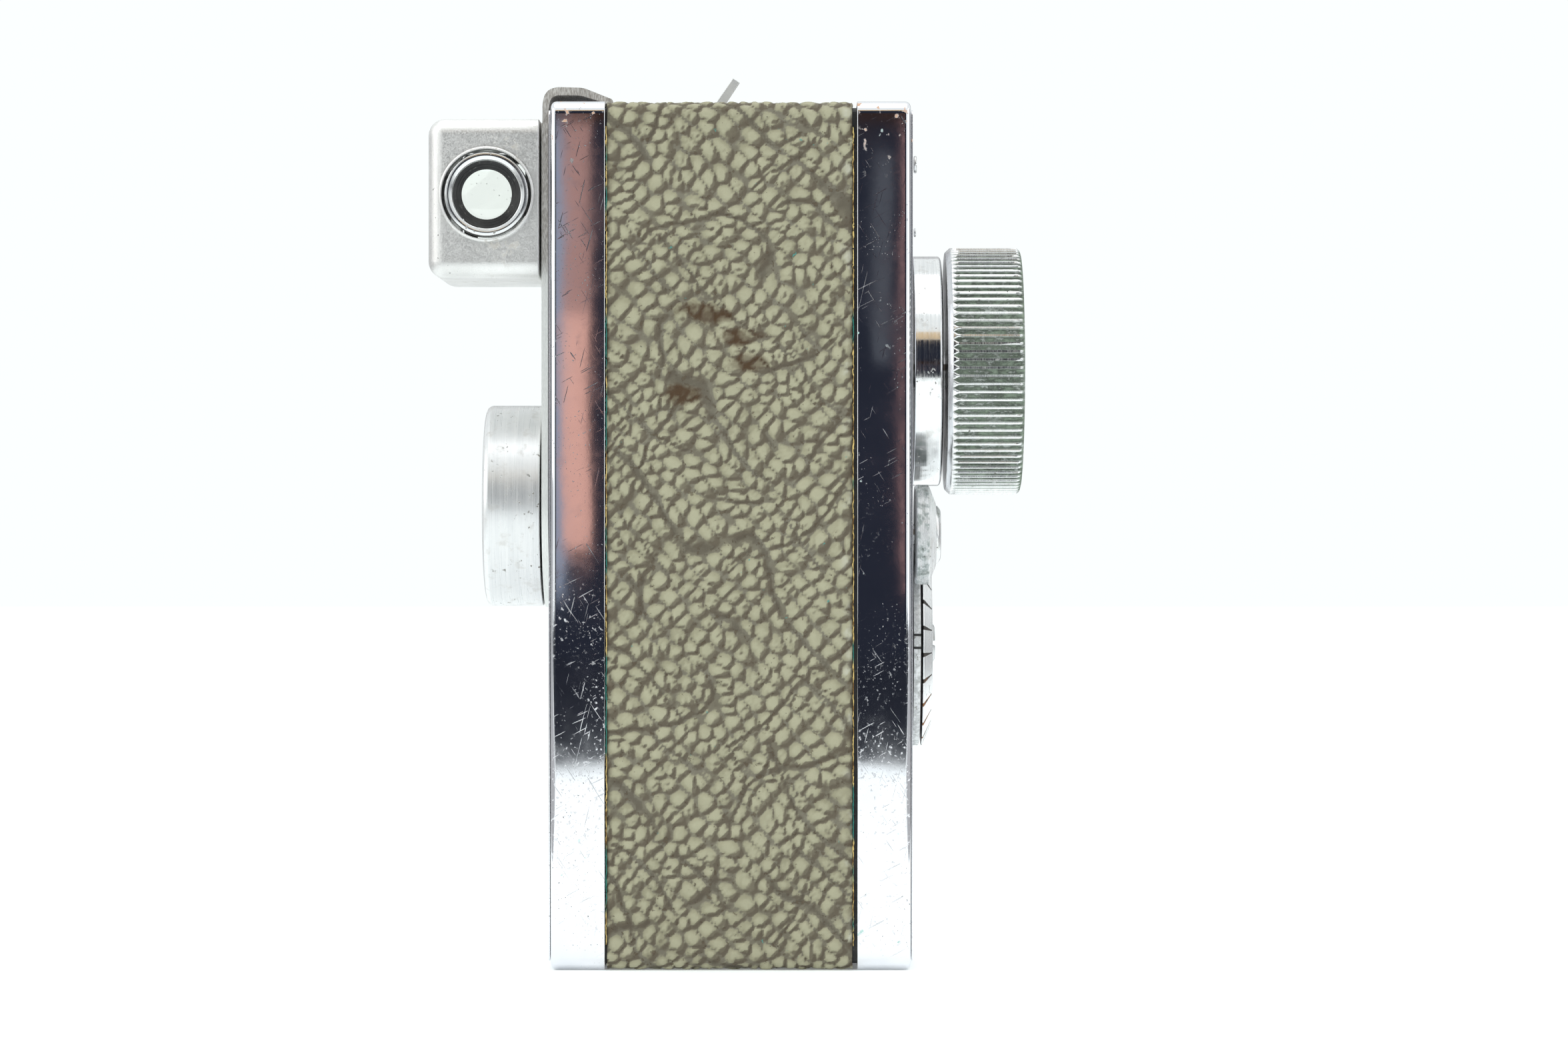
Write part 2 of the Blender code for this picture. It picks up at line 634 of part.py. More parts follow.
def lever_outline(pivot, tip, hub_r, half_width, tail_length):
    """A hub with an arm to the tip and a short tail on the -X side."""
    lean = math.atan2(tip[1] - pivot[1], tip[0] - pivot[0])
    reach = math.dist(pivot, tip)
    side = math.asin(half_width / hub_r)
    tail = math.radians(192)
    points = []

    def put(along, across, angle):
        points.append((
            pivot[0] + along * math.cos(angle) - across * math.sin(angle),
            pivot[1] + along * math.sin(angle) + across * math.cos(angle),
        ))

    put(reach, -half_width * 0.8, lean)
    put(reach, half_width * 0.8, lean)
    for i in range(8):
        put(hub_r, 0, lean + side + (tail - side - lean - side) * i / 7)
    put(tail_length, -half_width, tail)
    put(tail_length, half_width, tail)
    for i in range(10):
        put(hub_r, 0, tail + side + (math.tau + lean - side - tail - side) * i / 9)
    return points


plate(
    "release_lever",
    [lever_outline(LEVER_PIVOT, LEVER_TIP, 2.0, 0.75, 3.4), circle(0.93, LEVER_PIVOT, 12)],
    "Y", LEVER_Y, (0, 0), CHROME,
)
rod("lever_pin", 0.85, (14.5, 17.6), "+Y", LEVER_PIVOT, 12, STEEL, 0.1)

# ---------------------------------------------------------------- joint axes as parent empties
AXES = {
    "winding_axis": ((0, *KNOB_AXIS), ("winding_knob", "winding_shaft", "knob_screw", "drive_gear")),
    "sprocket_axis": ((0, *SPROCKET_AXIS), (
        "sprocket", "sprocket_shaft", "sprocket_gear", "counter_cam", "release_disc",
        "release_button")),
    "counter_axis": ((0, *COUNTER_AXIS), (
        "counter_wheel", "counter_shaft", "counter_dial", "dial_screw")),
    "takeup_axis": ((0, *TAKEUP_AXIS), ("takeup_spool", "takeup_shaft", "takeup_gear")),
    "supply_axis": ((0, *SUPPLY_AXIS), ("supply_spool", "supply_shaft")),
    "lever_axis": ((LEVER_PIVOT[0], LEVER_Y[0], LEVER_PIVOT[1]), ("release_lever",)),
    "shutter_slide": ((0, SHUTTER_Y[0], MID_Z), ("shutter_plate",)),
    "stop_slide": ((0, STOP_Y[0], MID_Z), ("stop_plate", "stop_knob")),
}
for axis_name, (spot, members) in AXES.items():
    axis = bpy.data.objects.new(axis_name, None)
    axis.empty_display_size = 0.005
    axis.location = [value * MM for value in spot]
    PARTS.objects.link(axis)
    bpy.context.view_layer.update()
    for member in members:
        child = bpy.data.objects[member]
        child.parent = axis
        child.matrix_parent_inverse = axis.matrix_world.inverted()
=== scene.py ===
import math

import bmesh
import bpy
from mathutils import Euler, Matrix, Vector, noise


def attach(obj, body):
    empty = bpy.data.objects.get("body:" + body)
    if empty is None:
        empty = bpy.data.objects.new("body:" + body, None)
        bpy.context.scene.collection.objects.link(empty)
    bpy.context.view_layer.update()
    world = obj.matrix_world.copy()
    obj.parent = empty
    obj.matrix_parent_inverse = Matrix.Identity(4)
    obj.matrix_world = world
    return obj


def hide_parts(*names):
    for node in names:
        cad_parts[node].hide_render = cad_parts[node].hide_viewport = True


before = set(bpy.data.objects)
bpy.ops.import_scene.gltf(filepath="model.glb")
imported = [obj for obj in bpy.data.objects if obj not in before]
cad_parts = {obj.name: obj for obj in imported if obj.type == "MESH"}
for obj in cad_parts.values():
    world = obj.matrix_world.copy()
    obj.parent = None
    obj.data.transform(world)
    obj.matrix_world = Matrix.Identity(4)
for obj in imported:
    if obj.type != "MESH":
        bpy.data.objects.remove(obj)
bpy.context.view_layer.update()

# ---------------------------------------------------------------- camera, floor and light
# The camera stands on its end on a white table, seen straight from behind at about 0.7 m. A soft
# white studio surrounds it, and the polished metal mirrors a dim room behind the viewer.
MM = 0.001
BACK_WALL = -1.50


def lamp(name, spot, target, size, watts, colour=(1, 1, 1)):
    data = bpy.data.lights.new(name, "AREA")
    data.shape = "RECTANGLE"
    data.size, data.size_y = size
    data.energy = watts
    data.color = colour
    obj = bpy.data.objects.new(name, data)
    obj.location = spot
    obj.rotation_euler = (Vector(target) - Vector(spot)).to_track_quat("-Z", "Y").to_euler()
    bpy.context.scene.collection.objects.link(obj)


def card(name, x, y, z, colour, glow, seen=False):
    """A flat stage card that spans two of x, y and z, with an even glow of its own."""
    made = bmesh.new()
    bmesh.ops.create_grid(made, x_segments=1, y_segments=1, size=0.5)
    if isinstance(z, tuple):
        tilt = Matrix.Rotation(math.pi / 2, 3, "X" if isinstance(x, tuple) else "Y")
        bmesh.ops.rotate(made, verts=made.verts, matrix=tilt)
    spans = [(value, value) if isinstance(value, (int, float)) else value for value in (x, y, z)]
    bmesh.ops.scale(made, vec=[b - a or 1 for a, b in spans], verts=made.verts)
    bmesh.ops.translate(made, vec=[(a + b) / 2 for a, b in spans], verts=made.verts)
    mesh = bpy.data.meshes.new(name)
    made.to_mesh(mesh)
    made.free()
    obj = bpy.data.objects.new(name, mesh)
    bpy.context.scene.collection.objects.link(obj)
    looks = bpy.data.materials.new(name)
    looks.use_nodes = True
    shader = looks.node_tree.nodes["Principled BSDF"]
    shader.inputs["Base Color"].default_value = (*colour, 1) if seen else (0, 0, 0, 1)
    shader.inputs["Roughness"].default_value = 0.9
    shader.inputs["Specular IOR Level"].default_value = 0.05
    shader.inputs["Emission Color"].default_value = (*colour, 1)
    shader.inputs["Emission Strength"].default_value = glow
    mesh.materials.append(looks)
    obj.visible_camera = seen
    obj.visible_diffuse = seen
    obj.visible_shadow = seen
    obj.visible_transmission = seen


camera_data = bpy.data.cameras.new("viewpoint")
camera_data.sensor_width = 36
camera_data.lens = 116.6
camera_data.clip_start, camera_data.clip_end = 0.01, 20
camera = bpy.data.objects.new("viewpoint", camera_data)
camera.location = (7.2 * MM, -722 * MM, 61.8 * MM)
camera.rotation_euler = (math.radians(90), 0, 0)
bpy.context.scene.collection.objects.link(camera)
bpy.context.scene.camera = camera
bpy.context.scene.view_settings.view_transform = "Standard"

world = bpy.data.worlds.new("studio")
world.use_nodes = True
world.node_tree.nodes["Background"].inputs["Color"].default_value = (0.955, 1.0, 1.0, 1)
world.node_tree.nodes["Background"].inputs["Strength"].default_value = 1.02
bpy.context.scene.world = world

NAVY, BROWN, DOOR_GREY = (0.020, 0.024, 0.038), (0.040, 0.020, 0.012), (0.060, 0.066, 0.078)
SALMON, DULL_RED, PINK = (0.56, 0.31, 0.25), (0.27, 0.155, 0.135), (0.62, 0.34, 0.31)
STEEL_BLUE, CREAM, WALL_GREY = (0.30, 0.36, 0.46), (0.80, 0.62, 0.40), (0.50, 0.51, 0.52)
card("table", (-3, 3), (-3, 3), 0.0, (0.90, 0.93, 0.93), 0.17, seen=True)
card("dim_floor", (-2, 2), (-2.2, -0.58), 0.002, NAVY, 0.7)
card("dim_room", (-0.7, 0.7), BACK_WALL, (0.0, 0.95), NAVY, 1.0)
card("warm_curtain", (-0.0975, -0.0735), BACK_WALL + 0.01, (0.050, 0.150), SALMON, 1.5)
card("dull_curtain", (-0.0960, -0.0735), BACK_WALL + 0.01, (0.150, 0.236), DULL_RED, 1.7)
card("steel_cupboard", (-0.112, -0.0955), BACK_WALL + 0.005, (0.03, 0.24), STEEL_BLUE, 1.0)
card("grey_door", (0.045, 0.060), BACK_WALL + 0.01, (0.13, 0.222), DOOR_GREY, 1.5)
card("pink_edge", (0.0690, 0.0708), BACK_WALL + 0.01, (0.03, 0.27), PINK, 1.2)
card("brown_beam", (-0.2, 0.2), BACK_WALL + 0.01, (0.234, 0.29), BROWN, 1.0)
card("cream_ceiling", (-0.7, 0.7), BACK_WALL, (0.96, 1.25), CREAM, 1.0)
for side in (-1, 1):
    card("side_wall", side * 1.60, (-0.25, 1.5), (0.0, 0.34), WALL_GREY, 0.75)
    card("side_floor", tuple(sorted((side * 0.22, side * 2.2))), (-0.5, 1.6), 0.002, WALL_GREY, 0.95)
    card("side_wall_top", side * 1.61, (-0.25, 1.5), (0.34, 0.80), WALL_GREY, 1.15)
card("front_floor", (-0.22, 0.22), (0.22, 2.2), 0.002, WALL_GREY, 0.95)
card("front_wall", (-0.9, 0.9), 1.6, (0.0, 0.40), WALL_GREY, 0.8)
card("front_wall_top", (-0.9, 0.9), 1.61, (0.40, 0.90), WALL_GREY, 1.2)
lamp("overhead", (0, -0.1, 1.1), (0, 0, 0.05), (1.2, 1.0), 4)
lamp("left_window", (-1.1, -0.35, 0.5), (0, 0, 0.06), (0.8, 0.9), 3.5, (1.0, 0.985, 0.95))
lamp("right_fill", (1.1, -0.3, 0.45), (0, 0, 0.06), (0.8, 0.9), 2.5)


# ---------------------------------------------------------------- leatherette
# A thin embossed cloth wrap in an olive-beige reptile grain, glued round the steel shell with its
# seam at the front. Handling has stained the middle of the back and frayed both cut edges.
class Field:
    """A shader socket that takes part in Python expressions."""

    def __init__(self, tree, socket):
        self.tree, self.socket = tree, socket

    def make(self, kind, settings=None, inputs=None, output=0):
        node = self.tree.nodes.new("ShaderNode" + kind)
        for key, value in (settings or {}).items():
            setattr(node, key, value)
        for key, value in (inputs or {}).items():
            plug = node.inputs[key]
            if isinstance(value, Field):
                self.tree.links.new(value.socket, plug)
            else:
                plug.default_value = value
        return Field(self.tree, node.outputs[output])

    def math(self, operation, *values):
        return self.make("Math", {"operation": operation}, dict(enumerate(values)))

    def __add__(self, other):
        return self.math("ADD", self, other)

    def __sub__(self, other):
        return self.math("SUBTRACT", self, other)

    def __mul__(self, other):
        return self.math("MULTIPLY", self, other)

    def __truediv__(self, other):
        return self.math("DIVIDE", self, other)

    def __abs__(self):
        return self.make("Math", {"operation": "ABSOLUTE"}, {0: self})

    def __radd__(self, other):
        return self.math("ADD", other, self)

    def __rsub__(self, other):
        return self.math("SUBTRACT", other, self)

    def __rmul__(self, other):
        return self.math("MULTIPLY", other, self)

    def capped(self):
        return self.math("MINIMUM", self, 1.0)

    def step(self, low, high, start=0.0, end=1.0):
        """A smooth change from start to end while this value goes from low to high."""
        if low > high:
            low, high, start, end = high, low, end, start
        return self.make(
            "MapRange", {"interpolation_type": "SMOOTHSTEP"},
            {"Value": self, "From Min": low, "From Max": high, "To Min": start, "To Max": end},
        )

    def blend(self, low, high):
        """The colour that goes from low to high as this value goes from 0 to 1."""
        sockets = {0: self}
        for place, colour in ((6, low), (7, high)):
            sockets[place] = colour if isinstance(colour, Field) else (*colour, 1)
        return self.make("Mix", {"data_type": "RGBA"}, sockets, 2)

    def noise(self, scale, detail=2.0, roughness=0.5, output="Fac"):
        inputs = {"Vector": self, "Scale": scale, "Detail": detail, "Roughness": roughness}
        return self.make("TexNoise", {}, inputs, output)

    def cells(self, feature="F1", output="Distance", randomness=1.0, dimensions="3D"):
        settings = {"feature": feature, "voronoi_dimensions": dimensions}
        inputs = {"Vector": self, "Scale": 1.0, "Randomness": randomness}
        if feature == "SMOOTH_F1":
            inputs["Smoothness"] = 0.35
        return self.make("TexVoronoi", settings, inputs, output)

    def laid(self, size, turn=(0, 0, 0), start=(0, 0, 0)):
        """These coordinates turned first, then counted in units of size, both in metres."""
        return self.make(
            "Mapping", {"vector_type": "TEXTURE"},
            {"Vector": self, "Scale": size, "Rotation": [math.radians(a) for a in turn],
             "Location": start},
        )

    def warped(self, scale, metres):
        """These coordinates shaken by a soft noise."""
        shake = self.noise(scale, 2.0, output="Color")
        return self.make("VectorMath", {"operation": "MULTIPLY_ADD"},
                         {0: shake, 1: (metres,) * 3, 2: self})

    def part(self, letter):
        return self.make("SeparateXYZ", {}, {0: self}, letter)

    def distance(self, point, mask=(1, 1, 1)):
        """How far a point of the surface is from this one, along the axes in the mask."""
        flat = self.make("VectorMath", {"operation": "MULTIPLY"}, {0: self, 1: mask})
        spot = [value * weight for value, weight in zip(point, mask)]
        return self.make("VectorMath", {"operation": "DISTANCE"}, {0: flat, 1: spot}, "Value")

    def bump(self, metres):
        """A normal from this height field, in metres."""
        return self.make("Bump", {}, {"Height": self * metres, "Distance": 1.0})


def surface(obj, looks, slot=None, **fixed):
    """Gives a piece its own material: looks(coords) returns the sockets that vary over it."""
    made = bpy.data.materials.new(obj.name + "_surface")
    made.use_nodes = True
    tree = made.node_tree
    shader = tree.nodes["Principled BSDF"]
    for key, value in fixed.items():
        shader.inputs[key.replace("_", " ")].default_value = value
    coords = Field(tree, tree.nodes.new("ShaderNodeTexCoord").outputs["Object"])
    for key, value in looks(coords).items():
        tree.links.new(value.socket, shader.inputs[key])
    if not obj.material_slots:
        obj.data.materials.append(made)
    obj.material_slots[0].material = made
    return obj


def block(x, y, z):
    """A block between pairs of coordinates in millimetres."""
    made = bmesh.new()
    bmesh.ops.create_cube(made, size=1)
    pairs = [sorted(pair) for pair in (x, y, z)]
    bmesh.ops.scale(made, vec=[(b - a) * MM for a, b in pairs], verts=made.verts)
    bmesh.ops.translate(made, vec=[(a + b) / 2 * MM for a, b in pairs], verts=made.verts)
    return made


def edges_along(made, axis):
    return [e for e in made.edges
            if abs((e.verts[0].co - e.verts[1].co).normalized()[axis]) > 0.99]


def facing(made, direction):
    return [face for face in made.faces if face.normal.dot(Vector(direction)) > 0.999]


def rim_of(faces):
    """The edges round a group of faces."""
    return [e for e in {e for f in faces for e in f.edges}
            if sum(f in faces for f in e.link_faces) == 1]


def round_edges(made, edges, radius, segments):
    bmesh.ops.bevel(made, geom=edges, offset=radius * MM, offset_type="OFFSET",
                    segments=segments, profile=0.5, affect="EDGES", material=-1)
    made.normal_update()
    return made


def shown(name, made):
    """A bmesh as an object in the scene."""
    mesh = bpy.data.meshes.new(name)
    made.to_mesh(mesh)
    made.free()
    obj = bpy.data.objects.new(name, mesh)
    bpy.context.scene.collection.objects.link(obj)
    return obj


def cut(made, *tools, operation="DIFFERENCE"):
    """The shape less its tools, or joined to them, as a new bmesh."""
    target = shown("target", made)
    others = [shown("tool", tool) for tool in tools]
    for other in others:
        step = target.modifiers.new("cut", "BOOLEAN")
        step.operation, step.solver, step.object = operation, "EXACT", other
    bpy.context.view_layer.update()
    result = bmesh.new()
    result.from_object(target, bpy.context.evaluated_depsgraph_get())
    for obj in (target, *others):
        bpy.data.objects.remove(obj, do_unlink=True)
    return result


def settle(name, made, body, *nodes, edge=0.0, sharp=35):
    """A finished piece that rides on a body in place of CAD nodes, its edges rounded by edge mm."""
    obj = shown(name, made)
    obj.data.shade_smooth()
    obj.data.set_sharp_from_angle(angle=math.radians(sharp))
    if edge:
        rounding = obj.modifiers.new("edges", "BEVEL")
        rounding.width, rounding.segments = edge * MM, 3
        rounding.limit_method, rounding.angle_limit = "ANGLE", math.radians(sharp)
    flats = obj.modifiers.new("flats", "WEIGHTED_NORMAL")
    flats.keep_sharp = True
    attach(obj, body)
    if nodes:
        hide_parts(*nodes)
    return obj


HALF_Y, HEIGHT, CORNER = 22.0, 120.0, 1.8
LENS_HEIGHTS = (30.0, 90.0)
WRAP_X, WRAP_CORNER, RELIEF = (-17.2, 16.6), CORNER - 0.1, 0.30
QUARTER_TURN = WRAP_CORNER * math.pi / 2
STRAIGHT_Z, STRAIGHT_Y = HEIGHT - 2 * WRAP_CORNER, 2 * (HALF_Y - 0.1 - WRAP_CORNER)
SIDES = (
    ((STRAIGHT_Y / 2, HEIGHT - WRAP_CORNER), (1, 0), STRAIGHT_Z, 1.0),
    ((STRAIGHT_Y / 2, WRAP_CORNER), (0, -1), STRAIGHT_Y, 0.5),
    ((-STRAIGHT_Y / 2, WRAP_CORNER), (-1, 0), STRAIGHT_Z, 0.40),
    ((-STRAIGHT_Y / 2, HEIGHT - WRAP_CORNER), (0, 1), STRAIGHT_Y, 0.5),
)


def smooth(value, low, high):
    t = min(max((value - low) / (high - low), 0), 1)
    return t * t * (3 - 2 * t)


def pebble(a, b, scatter, seed):
    """The distance to the nearest grain of a loose lattice, and how much further the next one is."""
    near, after = 9.0, 9.0
    for i in range(round(a) - 1, round(a) + 2):
        for j in range(round(b) - 1, round(b) + 2):
            jitter = noise.cell_vector((i + 0.5, j + 0.5, seed))
            away = math.hypot(i + (jitter.x - 0.5) * scatter - a, j + (jitter.y - 0.5) * scatter - b)
            if away < near:
                near, after = away, near
            elif away < after:
                after = away
    return near, after - near


def grain_height(x, s):
    """The emboss at x and s mm round the wrap: 1 on a grain's top, 0 in a groove."""
    at = Vector((x, s, 0))
    x, s = (at + noise.noise_vector(at * 0.09) * 1.9 + noise.noise_vector(at * 0.42) * 0.38).xy
    along, across = (x - s) * 0.7071, (x + s) * 0.7071
    away, gap = pebble(along / 2.3, across / 2.05, 0.66, 3.0)
    grain = smooth(gap, 0.02, 0.34) * (1 - 0.75 * smooth(away, 0.12, 0.66))
    crumb = smooth(pebble(along / 1.20, across / 1.10, 0.9, 8.0)[1], 0.0, 0.45)
    crumbly = smooth(noise.noise(Vector((x * 0.22, s * 0.22, 5))), -0.25, 0.25)
    crease = 0.0
    for line, other, spacing, strength, seed in ((across, along, 6.5, 0.92, 2), (along, across, 11.0, 0.85, 9)):
        sway = noise.noise(Vector((line / 11, other / 16, seed))) * 0.9
        off = abs((line / spacing + sway) % 1 - 0.5) * spacing
        present = smooth(noise.noise(Vector((line / 7, other / 12, seed + 3))), -0.20, 0.05)
        crease = max(crease, strength * present * smooth(off, 0.70, 0.12))
    return grain * (1 - crumbly * 0.50 * (1 - crumb)) * (1 - crease) - 0.2 * crease


COLUMNS = 84
marks = [0.0]
for centre, outward, straight, gap in SIDES:
    for length, count in ((straight, round(straight / gap)), (QUARTER_TURN, 7)):
        marks += [marks[-1] + length / count] + [marks[-1] + length * n / count for n in range(2, count + 1)]
ROWS = len(marks) - 1
heights = [[grain_height(WRAP_X[0] + (WRAP_X[1] - WRAP_X[0]) * column / COLUMNS, mark) * smooth(
    min(mark, marks[-1] - mark), 0.1, 0.8) for column in range(COLUMNS + 1)] for mark in marks]

wrap = bmesh.new()
bmesh.ops.create_grid(wrap, x_segments=COLUMNS, y_segments=ROWS, size=0.5)
wrap_map = wrap.loops.layers.uv.new("wrap")
height_layer = wrap.verts.layers.float.new("height")
# The "grime" layer holds painted shade: how much a higher grain up and to the left shades each point.
lee_shade_layer = wrap.verts.layers.float.new("grime")
for vert in wrap.verts:
    column, row = round((vert.co.x + 0.5) * COLUMNS), round((vert.co.y + 0.5) * ROWS)
    x = WRAP_X[0] + (WRAP_X[1] - WRAP_X[0]) * column / COLUMNS
    for loop in vert.link_loops:
        loop[wrap_map].uv = (x * MM, marks[row] * MM)
    height = heights[row][column]
    # Painted shade: heights one and three rows up and to the left; where they stand higher, this point lies on a
    # lower-right slope and is darkened.
    near, far = (heights[min(row + step, ROWS)][max(column - step, 0)] for step in (1, 3))
    vert[height_layer] = height
    vert[lee_shade_layer] = min(max((near - height) * 1.3 + (far - height) * 0.35, 0.0), 1.0)
    left = marks[row]
    for number, (centre, outward, straight, gap) in enumerate(SIDES):
        if left <= straight + QUARTER_TURN + 1e-6:
            break
        left -= straight + QUARTER_TURN
    outward, heading = Vector(outward), Vector(SIDES[(number + 1) % 4][1])
    turn = max(left - straight, 0) / WRAP_CORNER
    outward, centre = outward * math.cos(turn) + heading * math.sin(turn), Vector(centre) + heading * min(left, straight)
    y, z = centre + outward * (WRAP_CORNER - RELIEF * (1 - height))
    vert.co = Vector((x, y, z)) * MM
bmesh.ops.remove_doubles(wrap, verts=wrap.verts, dist=1e-6)
bmesh.ops.recalc_face_normals(wrap, faces=wrap.faces)


def under_an_opening(face):
    """Whether the lever or a lens comes through the wrap here. The front plate hides all but the lever's slot."""
    x, y, z = face.calc_center_median() / MM
    lever_slot = z > 119 and -10.4 < x < -1.9 and 15.3 < y < 17.5
    stop_slot = y > 21 and abs(x) < 2.3 and 49 < z < 71
    return lever_slot or stop_slot or y > 21 and min(math.hypot(x, z - high) for high in LENS_HEIGHTS) < 9.6


bmesh.ops.delete(wrap, geom=[face for face in wrap.faces if under_an_opening(face)], context="FACES")
leather = settle("leatherette", wrap, "camera_body", "leatherette_wrap", sharp=85)
cloth = leather.modifiers.new("cloth", "SOLIDIFY")
cloth.thickness, cloth.offset = 0.35 * MM, -1
leather.modifiers.move(1, 0)


def leather_looks(p):
    flat = p.make("UVMap", {"uv_map": "wrap"})
    grain = p.make("Attribute", {"attribute_name": "height"}, output="Fac")
    # The "grime" attribute read back: painted shade on the grains' lower-right slopes.
    lee_shade = p.make("Attribute", {"attribute_name": "grime"}, output="Fac")
    rag = flat.noise(1500.0, 3.0, 0.6) - 0.5
    soil = flat.noise(230.0, 3.0)
    valley = (grain + rag * 0.4).step(0.36, 0.06)
    lee_shade_mask = (lee_shade + rag * 0.45).step(0.06, 0.46)
    # Painted highlight: the grain tops are lightened, most on their upper-left side away from the painted shade.
    lit_crown = (grain - lee_shade * 0.8 + rag * 0.3).step(0.30, 0.95)
    mix = (flat.noise(340.0, 3.0) * 0.6 + flat.noise(70.0, 2.0) * 0.4).step(0.30, 0.70)
    colour = mix.blend((0.242, 0.227, 0.147), (0.325, 0.308, 0.207))
    colour = (lit_crown * 0.6).blend(colour, (0.392, 0.376, 0.260))
    # The grooves are painted darker: partly dirt, partly painted shade in the recesses.
    colour = (valley * 0.80).blend(colour, soil.step(0.35, 0.65).blend((0.104, 0.088, 0.065), (0.136, 0.122, 0.098)))
    # Painted shade darkens the grains' lower-right sides.
    colour = (lee_shade_mask * 0.78).blend(colour, (0.092, 0.072, 0.048))
    # Painted shade: the folds are darkened where the cloth dips into them.
    colour = (grain.step(-0.02, -0.18) * 0.55).blend(colour, (0.070, 0.056, 0.040))
    pits = (flat.noise(1150.0, 3.0, 0.6) + (1.0 - grain) * 0.10 + soil * 0.10).step(0.74, 0.80)
    colour = (pits * 0.65).blend(colour, (0.085, 0.060, 0.035))
    stains = [(-4.4, 91.0, 3.6, 1.3), (-2.4, 90.2, 3.0, 1.0), (0.6, 87.4, 3.4, 1.2), (2.4, 84.0, 2.6, 1.3), (-6.8, 79.6, 2.8, 1.4)]
    drift = flat.noise(420.0, 3.0, 0.6)
    for x, z, wide, high in stains:
        spot = p.laid((wide * MM, 1.0, high * MM), start=(x * MM, 0, z * MM)).distance((0, 0, 0), (1, 0, 1))
        stain = (spot + (drift - 0.5) * 2.2).step(1.25, 0.45) * p.part("Y").step(0.0, -0.005)
        colour = (stain * (1.0 - grain * 0.40)).blend(colour, (0.060, 0.031, 0.011))
    edges = abs(p.part("X") + 0.0003).step(0.0158, 0.0169)
    colour = (edges * p.noise(420.0, 3.0).step(0.45, 0.60) * 0.6).blend(colour, (0.09, 0.065, 0.04))
    verdigris = flat.noise(1000.0, 2.0).step(0.70, 0.74) * p.noise(130.0).step(0.56, 0.64)
    colour = (verdigris * 0.8).blend(colour, (0.06, 0.27, 0.24))
    rubbed = p.part("X").step(0.0145, 0.0162) * flat.noise(260.0, 3.0).step(0.50, 0.62) * grain
    colour = (rubbed * 0.45).blend(colour, (0.56, 0.56, 0.50))
    height = flat.noise(1700.0, 3.0, 0.6) * 0.7 + flat.noise(4200.0, 2.0) * 0.25 - pits * 0.5 + grain * 0.8
    return {
        "Base Color": colour,
        "Roughness": (valley.step(0.0, 1.0, 0.50, 0.80) + (soil - 0.5) * 0.25).capped(),
        "Normal": height.bump(0.00011),
    }


surface(leather, leather_looks, "leatherette", Specular_IOR_Level=0.42)

# ---------------------------------------------------------------- frayed edges
# Short loose threads of the cloth backing show in the gaps between the wrap and the two frames,
# ochre where the cloth is bare and blue-green where the brass under the chrome has bled into it.
threads = bmesh.new()
for edge_x, side in ((-17.3, -1), (16.75, 1)):
    for number in range(230):
        seed = Vector((number * 0.731, edge_x, 4.0))
        z = 4 + 112 * number / 229 + noise.noise(seed) * 0.5
        reach = 0.25 + 0.55 * abs(noise.noise(seed * 1.7))
        lift = 0.10 * noise.noise(seed * 2.3)
        corners = []
        for step in range(5):
            t = step / 4 - 0.5
            bend = side * 0.12 * noise.noise(seed * 3.1 + Vector((t, 0, 0)))
            corners.append(Vector((edge_x + bend, -22.0 + lift * lift + 0.16 * abs(t), z + reach * 2.2 * t)) * MM)
        wide = Vector((0.05, 0, 0)) * MM
        row = [threads.verts.new(corner - wide) for corner in corners]
        other = [threads.verts.new(corner + wide) for corner in corners]
        sides = [threads.edges.new(pair) for line in (row, other) for pair in zip(line, line[1:])]
        bmesh.ops.bridge_loops(threads, edges=sides)
bmesh.ops.recalc_face_normals(threads, faces=threads.faces)
for face in threads.faces:
    if face.normal.y > 0:
        face.normal_flip()
bmesh.ops.solidify(threads, geom=threads.faces, thickness=0.04 * MM)
bmesh.ops.recalc_face_normals(threads, faces=threads.faces)
fray = settle("frayed_threads", threads, "camera_body", sharp=80)


def thread_looks(p):
    where = p.noise(95.0, 3.0)
    colour = p.noise(900.0, 2.0).step(0.35, 0.65).blend((0.16, 0.085, 0.025), (0.62, 0.46, 0.17))
    colour = (where.step(0.53, 0.60)).blend(colour, (0.03, 0.16, 0.13))
    return {"Base Color": colour, "Roughness": where.step(0.3, 0.7, 0.75, 0.95)}


surface(fray, thread_looks, "leatherette", Specular_IOR_Level=0.2)

